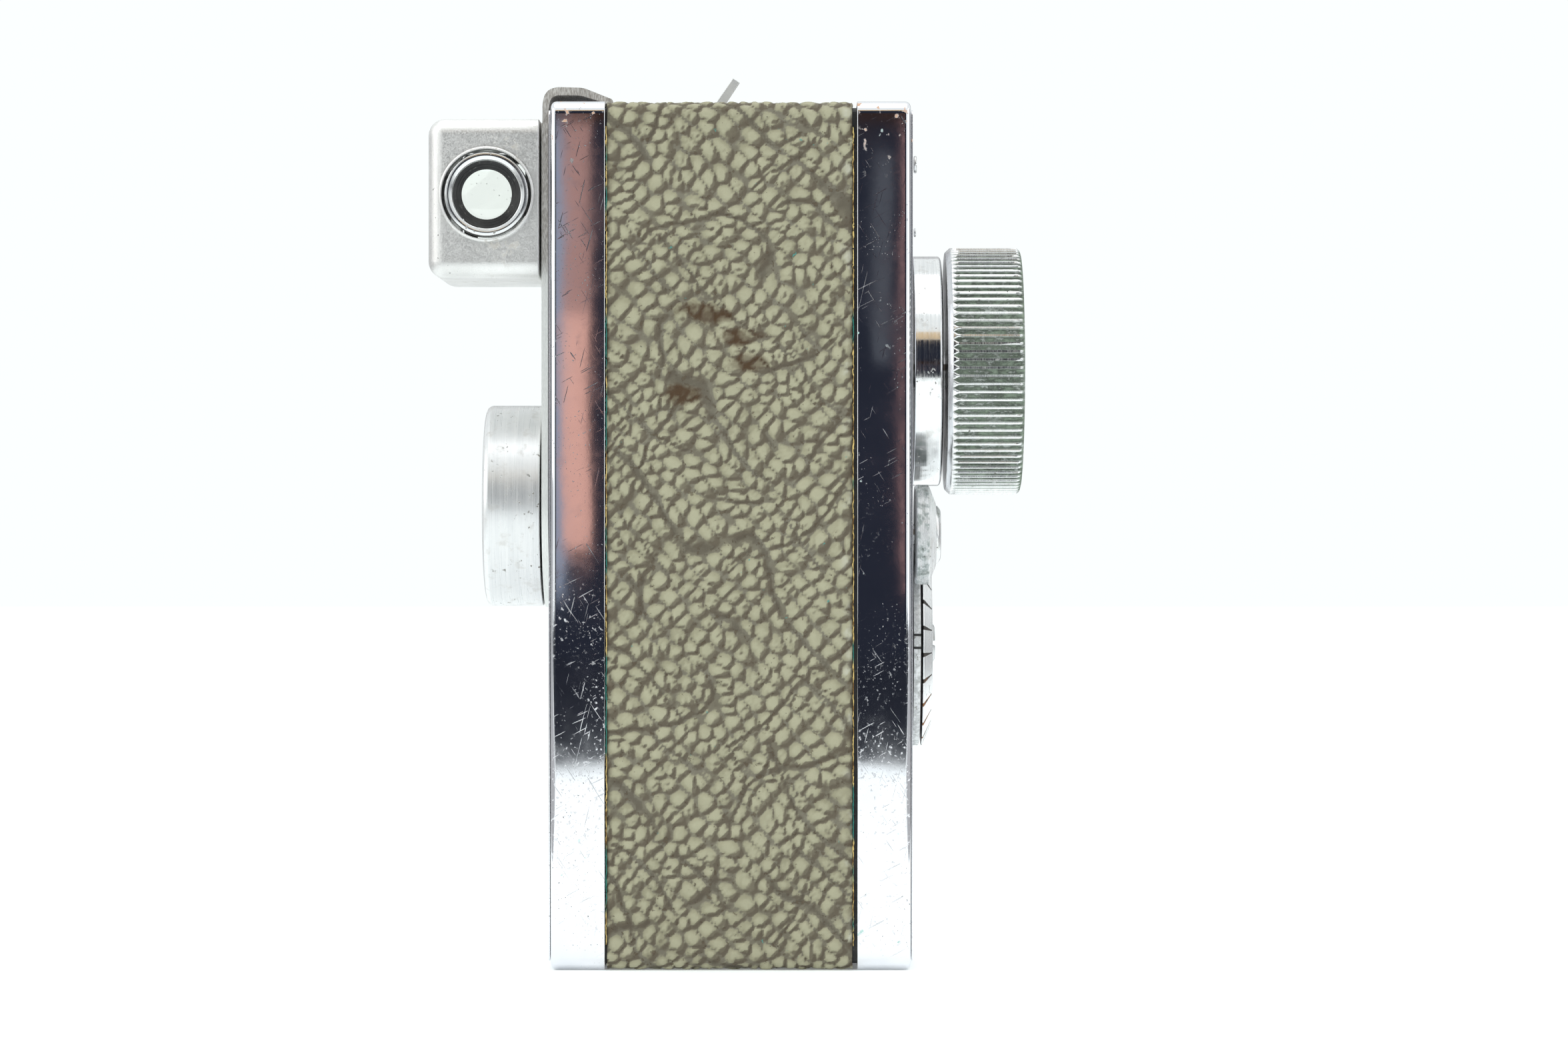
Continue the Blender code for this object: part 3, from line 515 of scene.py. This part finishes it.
# ---------------------------------------------------------------- end frames and their covers
# Two deep pans of polished chromed brass close the top and the bottom of the body. Their rims are
# rounded, and a thin flat cover plate lies on each. The plating is scratched, pitted and lime-worn.
def chrome_looks(p, rough=0.035, wave=1.0):
    smudge = p.noise(70.0, 4.0, 0.6)
    haze = p.noise(420.0, 3.0, 0.6)
    fine = [p.laid((0.00024, 0.00024, length), (0, lean, 0)).noise(1.0, 1.0).step(0.71, 0.75)
            for length, lean in ((0.006, 14), (0.0042, -33), (0.0035, 62))]
    scratch = (fine[0] + fine[1] + fine[2]) * smudge.step(0.42, 0.60)
    pit = p.noise(3000.0, 2.0).step(0.66, 0.71) * p.noise(200.0).step(0.48, 0.62)
    bloom = p.noise(1900.0, 3.0).step(0.60, 0.70) * p.noise(75.0, 2.0).step(0.47, 0.62)
    bloom = bloom * p.part("Z").step(0.068, 0.045)
    # Painted reflection: orange specks near the top stand for glints of light, and they also roughen and dull the metal
    # there.
    orange_glint = p.noise(900.0, 3.0).step(0.64, 0.72) * p.part("Z").step(0.108, 0.118)
    colour = smudge.step(0.3, 0.7).blend((0.74, 0.75, 0.79), (0.84, 0.84, 0.87))
    colour = (pit * 0.85).blend(colour, (0.05, 0.05, 0.055))
    colour = (orange_glint * 0.8).blend(colour, (0.46, 0.20, 0.06))
    verdigris = p.noise(700.0, 2.0).step(0.71, 0.75) * p.noise(60.0).step(0.55, 0.64)
    colour = (verdigris * 0.7).blend(colour, (0.25, 0.52, 0.46))
    roughness = smudge.step(0.45, 0.75, rough, rough + 0.03) + haze.step(0.5, 0.8) * 0.02
    roughness = (roughness + scratch * 0.25 + pit * 0.4 + orange_glint * 0.4 + bloom * 0.30).capped()
    height = p.noise(38.0, 2.0) * 0.45 * wave + haze * 0.01 - scratch * 0.014 - pit * 0.05
    metal = 1.0 - (pit + orange_glint + verdigris + bloom * 0.35).capped()
    return {"Base Color": colour, "Roughness": roughness, "Normal": height.bump(0.00006),
            "Metallic": metal}


def lathe(profile, axis, at, steps=128):
    """(radius, height) pairs in mm spun about an axis: a bar if they start on it, else a ring."""
    made = bmesh.new()
    row = [made.verts.new((radius * MM, 0, height * MM)) for radius, height in profile]
    line = [made.edges.new(pair) for pair in zip(row, row[1:])]
    if profile[0][0] > 0:
        line.append(made.edges.new((row[-1], row[0])))
    bmesh.ops.spin(made, geom=row + line, cent=(0, 0, 0), axis=(0, 0, 1), dvec=(0, 0, 0),
                   angle=math.tau, steps=steps, use_merge=True)
    bmesh.ops.remove_doubles(made, verts=made.verts, dist=1e-7)
    bmesh.ops.recalc_face_normals(made, faces=made.faces)
    turns = {"+X": (0, 90, 0), "-X": (0, -90, 0), "+Y": (-90, 0, 0), "-Y": (90, 0, 0)}
    spot = (0, *at) if axis[1] == "X" else (at[0], 0, at[1])
    place = Matrix.Translation(Vector(spot) * MM)
    turn = Euler([math.radians(a) for a in turns[axis]]).to_matrix().to_4x4()
    bmesh.ops.transform(made, matrix=place @ turn, verts=made.verts)
    return made


def softened(corners, radius=0.15, steps=3):
    """A profile with its corners rounded; points on the axis stay."""
    points = []
    for number, corner in enumerate(corners):
        here = Vector(corner)
        before, after = Vector(corners[number - 1]), Vector(corners[(number + 1) % len(corners)])
        if here.x == 0:
            points.append(tuple(here))
            continue
        reach = min(radius, 0.45 * (before - here).length, 0.45 * (after - here).length)
        first = here + (before - here).normalized() * reach
        last = here + (after - here).normalized() * reach
        for step in range(steps + 1):
            t = step / steps
            points.append(tuple(first * (1 - t) ** 2 + here * 2 * t * (1 - t) + last * t * t))
    return points


def bore(radius, low, high, axis, at):
    return lathe([(0, high), (radius, high), (radius, low), (0, low)], axis, at, 96)


KNOB, SPROCKET, COUNTER = (0.0, 83.3), (-12.5, 60.1), (3.5, 44.6)
SHAFT_HOLES = ((KNOB, 2.57), (SPROCKET, 1.57), (COUNTER, 1.57))

for name, outer, inner in (("top_frame", -25.0, -17.5), ("bottom_frame", 24.7, 17.3)):
    side = 1 if outer > 0 else -1
    pan = block((outer, inner), (-22, 22), (0, 120))
    round_edges(pan, edges_along(pan, 0), CORNER, 12)
    mouth = facing(pan, (-side, 0, 0))
    bmesh.ops.inset_region(pan, faces=mouth, thickness=0.6 * MM, use_even_offset=True)
    grown = bmesh.ops.extrude_face_region(pan, geom=mouth)["geom"]
    bmesh.ops.delete(pan, geom=[face for face in mouth if face.is_valid], context="FACES_ONLY")
    floor = [item for item in grown if isinstance(item, bmesh.types.BMVert)]
    bmesh.ops.translate(pan, vec=((outer - side * 1.5 - inner) * MM, 0, 0), verts=floor)
    pan.normal_update()
    round_edges(pan, rim_of(facing(pan, (side, 0, 0))), 0.8, 6)
    lip = [face for face in facing(pan, (-side, 0, 0)) if abs(face.calc_center_median().x - inner * MM) < 1e-5]
    round_edges(pan, rim_of(lip), 0.12, 3)
    if side > 0:
        pan = cut(pan, *(bore(radius, 20, 27, "+X", at) for at, radius in SHAFT_HOLES))
    piece = settle(name + "_pan", pan, "camera_body", name)
    surface(piece, chrome_looks, "chrome")

for name, inner, outer in (("top_cover", -25.1, -25.3), ("bottom_cover", 24.8, 25.0)):
    plate = block((inner, outer), (-20.6, 20.6), (1.2, 118.8))
    round_edges(plate, edges_along(plate, 0), CORNER - 1, 6)
    if outer > 0:
        plate = cut(plate, *(bore(radius + 0.5, 20, 27, "+X", at) for at, radius in SHAFT_HOLES))
    piece = settle(name + "_plate", plate, "camera_body", name, edge=0.05)
    surface(piece, lambda p: chrome_looks(p, 0.16), "chrome")

# ---------------------------------------------------------------- finder on its bracket
# A sheet-metal strap is bent over the right-hand end and down the top plate, round at its lower
# end. The finder is a die-cast box on it, bead-blasted and satin plated, grimy round the eyepiece.
def satin_looks(p, tone=1.0, rough=0.38):
    grain = p.noise(5200.0, 3.0, 0.65)
    cloud = p.noise(120.0, 4.0, 0.6)
    pits = p.noise(1900.0, 2.0).step(0.70, 0.745) * p.noise(300.0).step(0.42, 0.6)
    grime = p.noise(800.0, 4.0, 0.7).step(0.50, 0.66) * p.noise(110.0, 2.0).step(0.52, 0.66)
    bright, dull = (0.80 * tone, 0.795 * tone, 0.785 * tone), (0.66 * tone, 0.655 * tone, 0.645 * tone)
    colour = (cloud * 0.5 + grain * 0.5).step(0.35, 0.65).blend(dull, bright)
    colour = (pits * 0.75).blend(colour, (0.10, 0.095, 0.08))
    colour = (grime * 0.40).blend(colour, (0.25, 0.20, 0.13))
    return {
        "Base Color": colour,
        "Roughness": (grain.step(0.3, 0.7, rough - 0.06, rough + 0.10) + grime * 0.3 + pits * 0.3).capped(),
        "Normal": (grain - pits * 1.4).bump(0.000022),
        "Metallic": 1.0 - (grime * 0.5 + pits * 0.7).capped(),
    }


def sheet_looks(p):
    """Dull sheet metal whose sheared edge shows fine upright tearing; it is painted dark as shade up under the finder
    and pale as lit below about 94 mm.
    """
    tear = p.laid((0.0001, 0.002, 0.0007)).noise(1.0, 3.0, 0.6)
    looks = satin_looks(p, 0.80, 0.42)
    # Painted light and shade: pale below 94 mm, fading to the painted shade above 100 mm under the finder.
    lit_below_finder = p.part("Z").step(0.100, 0.094) * 0.75
    looks["Base Color"] = lit_below_finder.blend(tear.step(0.35, 0.65).blend((0.34, 0.31, 0.28), (0.66, 0.64, 0.61)),
                                     (0.86, 0.88, 0.86))
    looks["Metallic"] = looks["Metallic"] * 0.45
    return looks


LEVEL, HALF_STRAP = (0.0, 64.2), 14.4
bend = [
    (-26.6, 45.0), (-25.7, 45.0), (-25.7, 120.2), (-25.4, 121.2), (-24.6, 121.6), (-21.3, 121.6),
    (-17.1, 120.3), (-16.7, 120.3), (-16.75, 121.0), (-20.9, 122.65), (-24.6, 122.75),
    (-25.7, 122.4), (-26.35, 121.6), (-26.6, 120.4),
]
strap = bmesh.new()
corners = [strap.verts.new((x * MM, -18 * MM, z * MM)) for x, z in softened(bend, 0.6, 4)]
section = strap.faces.new(corners)
grown = bmesh.ops.extrude_face_region(strap, geom=[section], use_keep_orig=True)["geom"]
bmesh.ops.translate(strap, vec=(0, 36 * MM, 0),
                    verts=[item for item in grown if isinstance(item, bmesh.types.BMVert)])
bmesh.ops.recalc_face_normals(strap, faces=strap.faces)
blank = block((-30, -10), (-HALF_STRAP, HALF_STRAP), (LEVEL[1], 117.5))
hook = block((-30, -10), (-11.5, 11.5), (115, 125))
round_end = bore(HALF_STRAP, 10, 30, "-X", LEVEL)
strap = cut(strap, cut(blank, hook, round_end, operation="UNION"), operation="INTERSECT")
piece = settle("finder_strap", strap, "camera_body", "finder_bracket", edge=0.10, sharp=40)
surface(piece, sheet_looks, "satin_metal")

EYE = (-34.2, 107.5)
housing = block((-42.4, -26.9), (-15.5, 15.5), (95.9, 118.1))
free_edges = [edge for edge in housing.edges if min(vert.co.x for vert in edge.verts) < -0.040]
round_edges(housing, free_edges, 2.3, 8)
round_edges(housing, rim_of(facing(housing, (1, 0, 0))), 0.25, 3)
boss = lathe(softened([(6.35, 16.1), (6.62, 15.95), (6.75, 15.1), (6.75, 13.0), (6.25, 13.0), (6.25, 15.9)], 0.08),
             "-Y", EYE)
housing = cut(housing, bore(6.4, 11.5, 17, "-Y", EYE))
housing = cut(housing, boss, operation="UNION")
housing = cut(housing, block((-39.4, -29.0), (-13.5, 17), (98.2, 115.4)))
piece = settle("finder_body", housing, "camera_body", "finder_housing", sharp=40)
surface(piece, lambda p: satin_looks(p, 1.06, 0.47), "satin_metal")


def turned_looks(p, axis=0, tone=0.82, rough=0.16, dirt=1.0):
    """Lathe-turned plated metal: fine rings across the axis, water marks and pits."""
    rings = p.laid([0.00006 if place == axis else 0.012 for place in range(3)]).noise(1.0, 2.0, 0.6)
    coarse = p.laid([0.0005 if place == axis else 0.02 for place in range(3)]).noise(1.0, 2.0)
    marks = p.noise(520.0, 4.0, 0.65)
    pits = p.noise(1500.0, 3.0).step(0.64, 0.70) * p.noise(190.0).step(0.46, 0.62) * dirt
    colour = (rings * 0.5 + coarse * 0.3 + marks * 0.2).step(0.36, 0.64).blend(
        (tone * 0.84, tone * 0.85, tone * 0.86), (tone, tone, tone))
    colour = (marks.step(0.52, 0.68) * 0.28 * dirt).blend(colour, (0.36, 0.33, 0.29))
    colour = (pits * 0.8).blend(colour, (0.13, 0.115, 0.09))
    return {
        "Base Color": colour,
        "Roughness": (rings.step(0.3, 0.7, rough, rough + 0.14) + marks.step(0.5, 0.75) * 0.12 + pits * 0.4).capped(),
        "Normal": (rings + coarse * 0.6 - pits * 6).bump(0.0000035),
        "Metallic": 1.0 - pits * 0.7,
    }


def paint_looks(p):
    """Matt black lacquer, rubbed grey and dusty."""
    dust = p.noise(1600.0, 3.0).step(0.60, 0.74) * p.noise(200.0).step(0.4, 0.6)
    tone = p.noise(300.0, 3.0).step(0.3, 0.7).blend((0.012, 0.012, 0.013), (0.030, 0.029, 0.028))
    return {"Base Color": (dust * 0.35).blend(tone, (0.25, 0.24, 0.22)),
            "Roughness": p.noise(700.0, 2.0).step(0.3, 0.7, 0.38, 0.60),
            "Normal": p.noise(3200.0, 2.0).bump(0.000015)}


def glass_looks(p):
    """Polished glass with specks of dust on it."""
    dust = p.noise(2600.0, 2.0).step(0.70, 0.745) * p.noise(420.0).step(0.42, 0.56)
    return {"Base Color": dust.blend((0.97, 0.985, 0.96), (0.05, 0.05, 0.045)),
            "Roughness": dust * 0.8 + p.noise(90.0).step(0.4, 0.8) * 0.03}


GLASS = {"IOR": 1.5, "Transmission_Weight": 1.0}
ring = lathe(softened([(5.35, 15.95), (5.80, 15.85), (5.92, 15.6), (5.92, 11.9), (4.8, 11.9), (4.8, 15.75)], 0.10),
             "-Y", EYE)
piece = settle("eyepiece_flange", ring, "camera_body", "eyepiece_ring", sharp=50)
surface(piece, lambda p: turned_looks(p, 1, 0.80, 0.14), "chrome")
mask = lathe(softened([(4.72, 15.55), (4.72, 14.5), (3.5, 14.5), (3.5, 15.0), (3.75, 15.02), (3.85, 15.2),
                       (4.1, 15.22), (4.2, 15.42), (4.5, 15.45)], 0.05), "-Y", EYE)
piece = settle("eyepiece_cell", mask, "camera_body", "eyepiece_mask", sharp=50)
surface(piece, paint_looks, "black_paint")
dome = lathe([(0, 14.2), (1.1, 14.17), (2.2, 14.07), (3.3, 13.88), (4.4, 13.6), (4.4, 12.3), (0, 12.3)], "-Y", EYE)
piece = settle("eyepiece_glass", dome, "camera_body", "eyepiece_lens")
surface(piece, glass_looks, "glass", **GLASS)
surface(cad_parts["objective_frame"], paint_looks)
surface(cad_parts["objective_lens"], glass_looks, **GLASS)

# ---------------------------------------------------------------- level
# A turned and plated drum screwed to the round end of the strap, with a bull's-eye glass in its
# outer face. The lathe has left fine rings on its wall.
def drum_looks(p):
    looks = turned_looks(p, 0, 0.80, 0.27)
    looks["Metallic"] = looks["Metallic"] * 0.6
    return looks


drum = lathe(softened([(13.1, 35.0), (13.85, 34.75), (14.2, 34.2), (14.2, 26.9), (1.2, 26.9), (1.2, 30.8),
                       (12.1, 30.8), (12.1, 34.6), (12.4, 35.0)], 0.18), "-X", LEVEL, 160)
piece = settle("level_drum", drum, "camera_body", "level_housing", sharp=45)
surface(piece, drum_looks, "satin_metal")
eye = lathe([(0, 34.4), (3.0, 34.35), (6.0, 34.2), (9.0, 33.95), (11.8, 33.6), (11.8, 32.5), (0, 32.5)],
            "-X", LEVEL)
piece = settle("level_window", eye, "camera_body", "level_glass")
surface(piece, glass_looks, "glass", **GLASS)

# ---------------------------------------------------------------- winding knob
# A turned brass knob, straight knurled and chromed, that runs over a plain round sleeve. The
# plating is bright on the ridges, and grey-green grime fills the grooves.
KNOB_R, RIDGES, PER_RIDGE = 17.5, 96, 10
stations = [39.9, 39.2, 36.5, 33.5, 32.0, 31.6, 31.4, 31.2, 31.05, 30.95, 30.85]
knob_profile = [(9.6, 40.7), (16.6, 40.7), (16.95, 40.62), (17.25, 40.45), (17.42, 40.22)]
knob_profile += [(KNOB_R, x) for x in stations] + [(KNOB_R, 30.75), (17.4, 30.6), (16.95, 30.12), (16.8, 30.0)]
knob_profile += softened([(2.8, 30.0), (2.8, 36.2), (1.5, 36.2), (1.5, 38.6), (3.6, 38.6), (3.6, 39.5), (9.0, 39.5)], 0.1)
knob = lathe(knob_profile, "+X", KNOB, RIDGES * PER_RIDGE)
centre = Vector((0, *KNOB)) * MM


for vert in knob.verts:
    out = Vector((0, vert.co.y - centre.y, vert.co.z - centre.z))
    x, radius = vert.co.x / MM, out.length / MM
    if x < 30.8 or radius < 16.5:
        continue
    phase = math.atan2(out.z, out.y) / math.tau * RIDGES
    off_ridge = abs(phase - round(phase)) * 2
    run_out = 1 - smooth(x, 30.82, 31.5)
    wobble = 0.05 * noise.noise(vert.co * 900)
    depth = 0.46 * smooth(off_ridge - 0.5 * run_out + wobble, 0.20, 0.58)
    new_radius = min(radius, KNOB_R - depth - 0.02 * abs(noise.noise(vert.co * 2500)))
    vert.co = Vector((vert.co.x, 0, 0)) + Vector((0, centre.y, centre.z)) + out.normalized() * new_radius * MM


def knob_looks(p):
    looks = turned_looks(p, 0, 0.86, 0.18)
    radius = p.distance((0, *[value * MM for value in KNOB]), (0, 1, 1))
    groove = radius.step(0.01746, 0.01715) * p.part("X").step(0.03082, 0.0310)
    groove = groove * radius.step(0.0155, 0.0165)
    mottle = p.laid((0.0015, 0.0007, 0.0007)).noise(1.0, 4.0, 0.72)
    filled = groove * (mottle + p.noise(140.0, 2.0) * 0.25).step(0.46, 0.62)
    tint = mottle.step(0.40, 0.66).blend((0.030, 0.040, 0.026), (0.24, 0.30, 0.23))
    looks["Base Color"] = (groove * 0.55).blend(looks["Base Color"], (0.40, 0.47, 0.41))
    looks["Base Color"] = (filled * 0.94).blend(looks["Base Color"], tint)
    looks["Roughness"] = (looks["Roughness"] + groove * 0.45).capped()
    looks["Metallic"] = looks["Metallic"] - filled * 0.7
    looks["Metallic"] = looks["Metallic"].math("MAXIMUM", looks["Metallic"], 0.0)
    looks["Normal"] = (mottle * groove).bump(0.00008)
    return looks


piece = settle("knurled_knob", knob, "winding", "winding_knob", sharp=60)
surface(piece, knob_looks, "chrome")
sleeve = lathe(softened([(15.9, 29.4), (16.3, 29.1), (16.3, 25.4), (3.1, 25.4), (3.1, 29.4)], 0.2), "+X", KNOB, 160)
piece = settle("knob_collar", sleeve, "camera_body", "knob_sleeve", sharp=45)
surface(piece, lambda p: turned_looks(p, 0, 0.87, 0.055), "chrome")


def slotted_screw(name, profile, at, slot_half, deep, body, node):
    """A polished cheese-head screw with a straight slot."""
    head = cut(lathe(softened(profile, 0.12), "+X", at, 64),
               block((deep, 45), (-9, 9), (at[1] - slot_half, at[1] + slot_half)))
    surface(settle(name, head, body, node, edge=0.04, sharp=45),
            lambda p: turned_looks(p, 0, 0.66, 0.24), "steel")


slotted_screw("knob_fixing_screw", [(0, 40.2), (2.6, 40.2), (3.3, 39.8), (3.3, 38.9), (1.2, 38.9), (1.2, 36.3),
                                    (0, 36.3)], KNOB, 0.4, 39.7, "winding", "knob_screw")
for name, radius, high, at in (("frame_screw", 1.2, 25.6, (-17.0, 111.5)), ("frame_pin", 0.6, 25.5, (-17.6, 102.0))):
    head = lathe(softened([(0, high), (radius, high), (radius, 25.2), (0, 25.2)], 0.15), "+X", at, 48)
    if name == "frame_screw":
        head = cut(head, block((25.42, 26), (-19, -15), (at[1] - 0.15, at[1] + 0.15)))
    surface(settle(name + "_head", head, "camera_body", name, sharp=45),
            lambda p: turned_looks(p, 0, 0.70, 0.2), "steel")

# ---------------------------------------------------------------- rewind release
# A low turned disc on the end of the sprocket shaft, its rim cut with fine rings and stained
# blue-green, with a plain button in the middle that frees the sprocket.
disc_profile = [(4.35, 28.4), (6.65, 27.5)]
for number in range(11):
    x = 27.30 - 0.15 * number
    disc_profile += [(7.0, x), (6.93, x - 0.075)]
disc_profile += [(6.7, 25.4), (1.8, 25.4), (1.8, 26.1), (4.35, 26.1)]
piece = settle("release_wheel", lathe(disc_profile, "+X", SPROCKET, 128), "sprocket_group", "release_disc", sharp=70)


def stained_looks(p):
    looks = turned_looks(p, 0, 0.84, 0.24)
    radius = p.distance((0, *[value * MM for value in SPROCKET]), (0, 1, 1))
    stain = p.noise(900.0, 4.0, 0.7).step(0.42, 0.60) * radius.step(0.0066, 0.0070)
    looks["Base Color"] = (stain * 0.50).blend(looks["Base Color"], (0.13, 0.20, 0.18))
    looks["Metallic"] = looks["Metallic"] * 0.6
    looks["Roughness"] = (looks["Roughness"] + stain * 0.3).capped()
    return looks


surface(piece, stained_looks, "satin_metal")
button = lathe(softened([(0, 29.05), (3.4, 29.05), (4.05, 28.6), (4.05, 27.3), (0, 27.3)], 0.2), "+X", SPROCKET, 96)
piece = settle("rewind_button", button, "button", "release_button", sharp=50)
surface(piece, lambda p: turned_looks(p, 0, 0.86, 0.2), "satin_metal")

# ---------------------------------------------------------------- exposure counter
# A coned plated dial with twenty-four engraved and paint-filled lines. It turns over a fixed base
# ring that carries two short index marks. The paint has gone brown in the lower lines.
LINES, FIRST_LINE = 24, math.radians(185.3)


def around(p, centre, shift):
    """The angle round a centre in the YZ plane, counted in turns."""
    y, z = p.part("Y") - centre[0] * MM, p.part("Z") - centre[1] * MM
    return z.make("Math", {"operation": "ARCTAN2"}, {0: z, 1: y}) / math.tau + shift


def dial_looks(p):
    looks = turned_looks(p, 0, 0.90, 0.20, 0.5)
    radius = p.distance((0, *[value * MM for value in COUNTER]), (0, 1, 1))
    count = (around(p, COUNTER, 2.0) - FIRST_LINE / math.tau) * LINES + 0.5
    from_line = abs(count.make("Math", {"operation": "FRACT"}, {0: count}) - 0.5)
    width = from_line * radius * (math.tau / LINES)
    shape = radius.step(0.0122, 0.0146, 0.00012, 0.00030)
    line = (width - shape).step(0.00006, -0.00006) * radius.step(0.0119, 0.0121)
    rusty = p.part("Z").step(0.044, 0.034) * p.noise(1500.0, 3.0).step(0.35, 0.6)
    ink = rusty.blend((0.022, 0.017, 0.014), (0.23, 0.095, 0.030))
    looks["Base Color"] = line.blend(looks["Base Color"], ink)
    looks["Metallic"] = (1.0 - line) * looks["Metallic"]
    looks["Roughness"] = (looks["Roughness"] + line * 0.5).capped()
    looks["Normal"] = (line * -1.0).bump(0.00006)
    return looks


def base_looks(p):
    looks = turned_looks(p, 0, 0.80, 0.3)
    ticks = abs(abs(p.part("Z") - 0.04515) - 0.0009).step(0.00022, 0.00014) * p.part("Y").step(-0.009, -0.010)
    soil = p.noise(1100.0, 4.0, 0.7).step(0.40, 0.62)
    looks["Base Color"] = (soil * 0.45).blend(looks["Base Color"], (0.17, 0.18, 0.165))
    looks["Base Color"] = ticks.blend(looks["Base Color"], (0.012, 0.012, 0.012))
    looks["Metallic"] = 1.0 - (soil * 0.3 + 0.4 + ticks).capped()
    looks["Roughness"] = (looks["Roughness"] + soil * 0.25).capped()
    return looks


base = lathe(softened([(14.5, 26.4), (14.65, 26.25), (14.65, 25.4), (2.2, 25.4), (2.2, 26.4)], 0.08), "+X", COUNTER, 160)
surface(settle("counter_base", base, "camera_body", "dial_base", sharp=45), base_looks, "chrome")
cone = lathe(softened([(11.8, 28.1), (12.1, 27.95), (14.6, 26.85), (14.65, 26.7), (1.8, 26.7), (1.8, 27.4), (3.2, 27.4),
                       (3.2, 28.1)], 0.06), "+X", COUNTER, 192)
surface(settle("counter_cone", cone, "counter", "counter_dial", sharp=45), dial_looks, "satin_metal")
slotted_screw("counter_fixing_screw", [(0, 28.7), (2.3, 28.7), (2.8, 28.4), (2.8, 27.7), (0, 27.7)],
              COUNTER, 0.35, 28.3, "counter", "dial_screw")

# ---------------------------------------------------------------- front plate and lenses
# A satin plate spaces two fixed lenses 60 mm apart. Each lens sits in a turned chromed barrel and
# is held by a blackened ring; the stop knob slides in the slot between them.
front = block((-14.8, 14.8), (22.2, 23.4), (8, 112))
round_edges(front, edges_along(front, 1), 6, 12)
slot = block((-1.7, 1.7), (20, 25), (49.2, 70.8))
round_edges(slot, edges_along(slot, 1), 1.6, 6)
front = cut(front, *(bore(8.6, 20, 25, "+Y", (0, z)) for z in (30, 90)), slot)
surface(settle("lens_panel", front, "camera_body", "front_plate", edge=0.3, sharp=40),
        lambda p: satin_looks(p, 0.84, 0.36), "satin_metal")
barrel_profile = [(7.75, 29.0), (9.2, 29.0), (9.6, 28.6), (9.6, 27.9), (9.35, 27.8), (9.35, 27.5), (9.6, 27.4),
                  (9.6, 25.2), (11.3, 25.05), (11.6, 24.8), (11.6, 23.7), (8.3, 23.7), (8.3, 16.8), (6.0, 16.8),
                  (6.0, 25.4), (7.6, 25.8), (7.6, 28.85)]
for side, z in (("left", 30.0), ("right", 90.0)):
    barrel = lathe(softened(barrel_profile, 0.12), "+Y", (0, z), 160)
    surface(settle(side + "_barrel", barrel, "camera_body", side + "_lens_barrel", sharp=45),
            lambda p: turned_looks(p, 1, 0.84, 0.07, 0.6), "chrome")
    ring = lathe(softened([(7.3, 28.8), (7.3, 28.2), (6.0, 28.2), (6.0, 28.4), (6.4, 28.8)], 0.06), "+Y", (0, z), 96)
    surface(settle(side + "_retainer", ring, "camera_body", side + "_lens_ring", sharp=50), paint_looks, "black_paint")
    lens = lathe([(0, 27.9), (2.0, 27.83), (4.0, 27.6), (5.7, 27.2), (7.3, 26.7), (7.3, 26.2), (0, 26.2)],
                 "+Y", (0, z), 96)
    surface(settle(side + "_front_glass", lens, "camera_body", side + "_front_lens"), glass_looks, "glass", **GLASS)
    surface(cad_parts[side + "_rear_lens"], glass_looks, **GLASS)
knob = lathe(softened([(0, 26.6), (2.2, 26.6), (2.6, 26.3), (2.6, 25.6), (2.35, 25.4), (2.6, 25.2), (2.6, 24.3), (1.2, 24.0),
                       (1.2, 16.3), (0, 16.3)], 0.12), "+Y", (0, 60), 64)
surface(settle("stop_button", knob, "stops", "stop_knob", sharp=45), lambda p: turned_looks(p, 1, 0.68, 0.2), "steel")

# ---------------------------------------------------------------- release lever
# A narrow polished lever of sheet steel comes through a slot near the front and stands above the
# right-hand end. It swings on a riveted pin and trips the shutter.
def merged_copy(node):
    """A bmesh of a CAD node with its loose triangles joined and its flat faces whole."""
    made = bmesh.new()
    made.from_mesh(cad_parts[node].data)
    bmesh.ops.remove_doubles(made, verts=made.verts, dist=1e-7)
    bmesh.ops.dissolve_limit(made, angle_limit=math.radians(1), verts=made.verts, edges=made.edges)
    return made


def lever_looks(p):
    looks = turned_looks(p, 1, 0.80, 0.30, 0.5)
    looks["Metallic"] = looks["Metallic"] * 0.35
    return looks


surface(settle("lever_arm", merged_copy("release_lever"), "lever", "release_lever", edge=0.12, sharp=40),
        lever_looks, "chrome")

# ---------------------------------------------------------------- inner works
# The film chassis and the shutter are blackened sheet, the gears and bearing plates are sawn
# brass, and the shafts and the pressure plate are bright steel.
def steel_looks(p):
    looks = turned_looks(p, 0, 0.60, 0.26, 0.6)
    looks["Base Color"] = p.noise(200.0, 3.0).step(0.3, 0.7).blend(looks["Base Color"], (0.46, 0.46, 0.47))
    return looks


def brass_looks(p):
    grain = p.laid((0.00008, 0.004, 0.004)).noise(1.0, 3.0, 0.6)
    tarnish = p.noise(260.0, 4.0, 0.65).step(0.48, 0.70)
    colour = grain.step(0.35, 0.65).blend((0.58, 0.40, 0.17), (0.76, 0.56, 0.28))
    return {"Base Color": (tarnish * 0.55).blend(colour, (0.26, 0.17, 0.07)),
            "Roughness": grain.step(0.3, 0.7, 0.24, 0.40) + tarnish * 0.15,
            "Normal": grain.bump(0.000006)}


INNER = {
    "steel": (steel_looks, 1.0, (
        "pressure_plate", "winding_shaft", "sprocket", "sprocket_shaft", "counter_cam",
        "counter_shaft", "takeup_shaft", "supply_shaft", "lever_pin")),
    "brass": (brass_looks, 1.0, (
        "bearing_plate", "drive_gear", "sprocket_gear", "takeup_gear", "counter_wheel", "stop_plate")),
    "paint": (paint_looks, 0.0, ("body_shell", "film_chassis", "shutter_plate", "takeup_spool", "supply_spool")),
}
for looks, metal, nodes in INNER.values():
    for node in nodes:
        surface(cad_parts[node], looks, Metallic=metal)
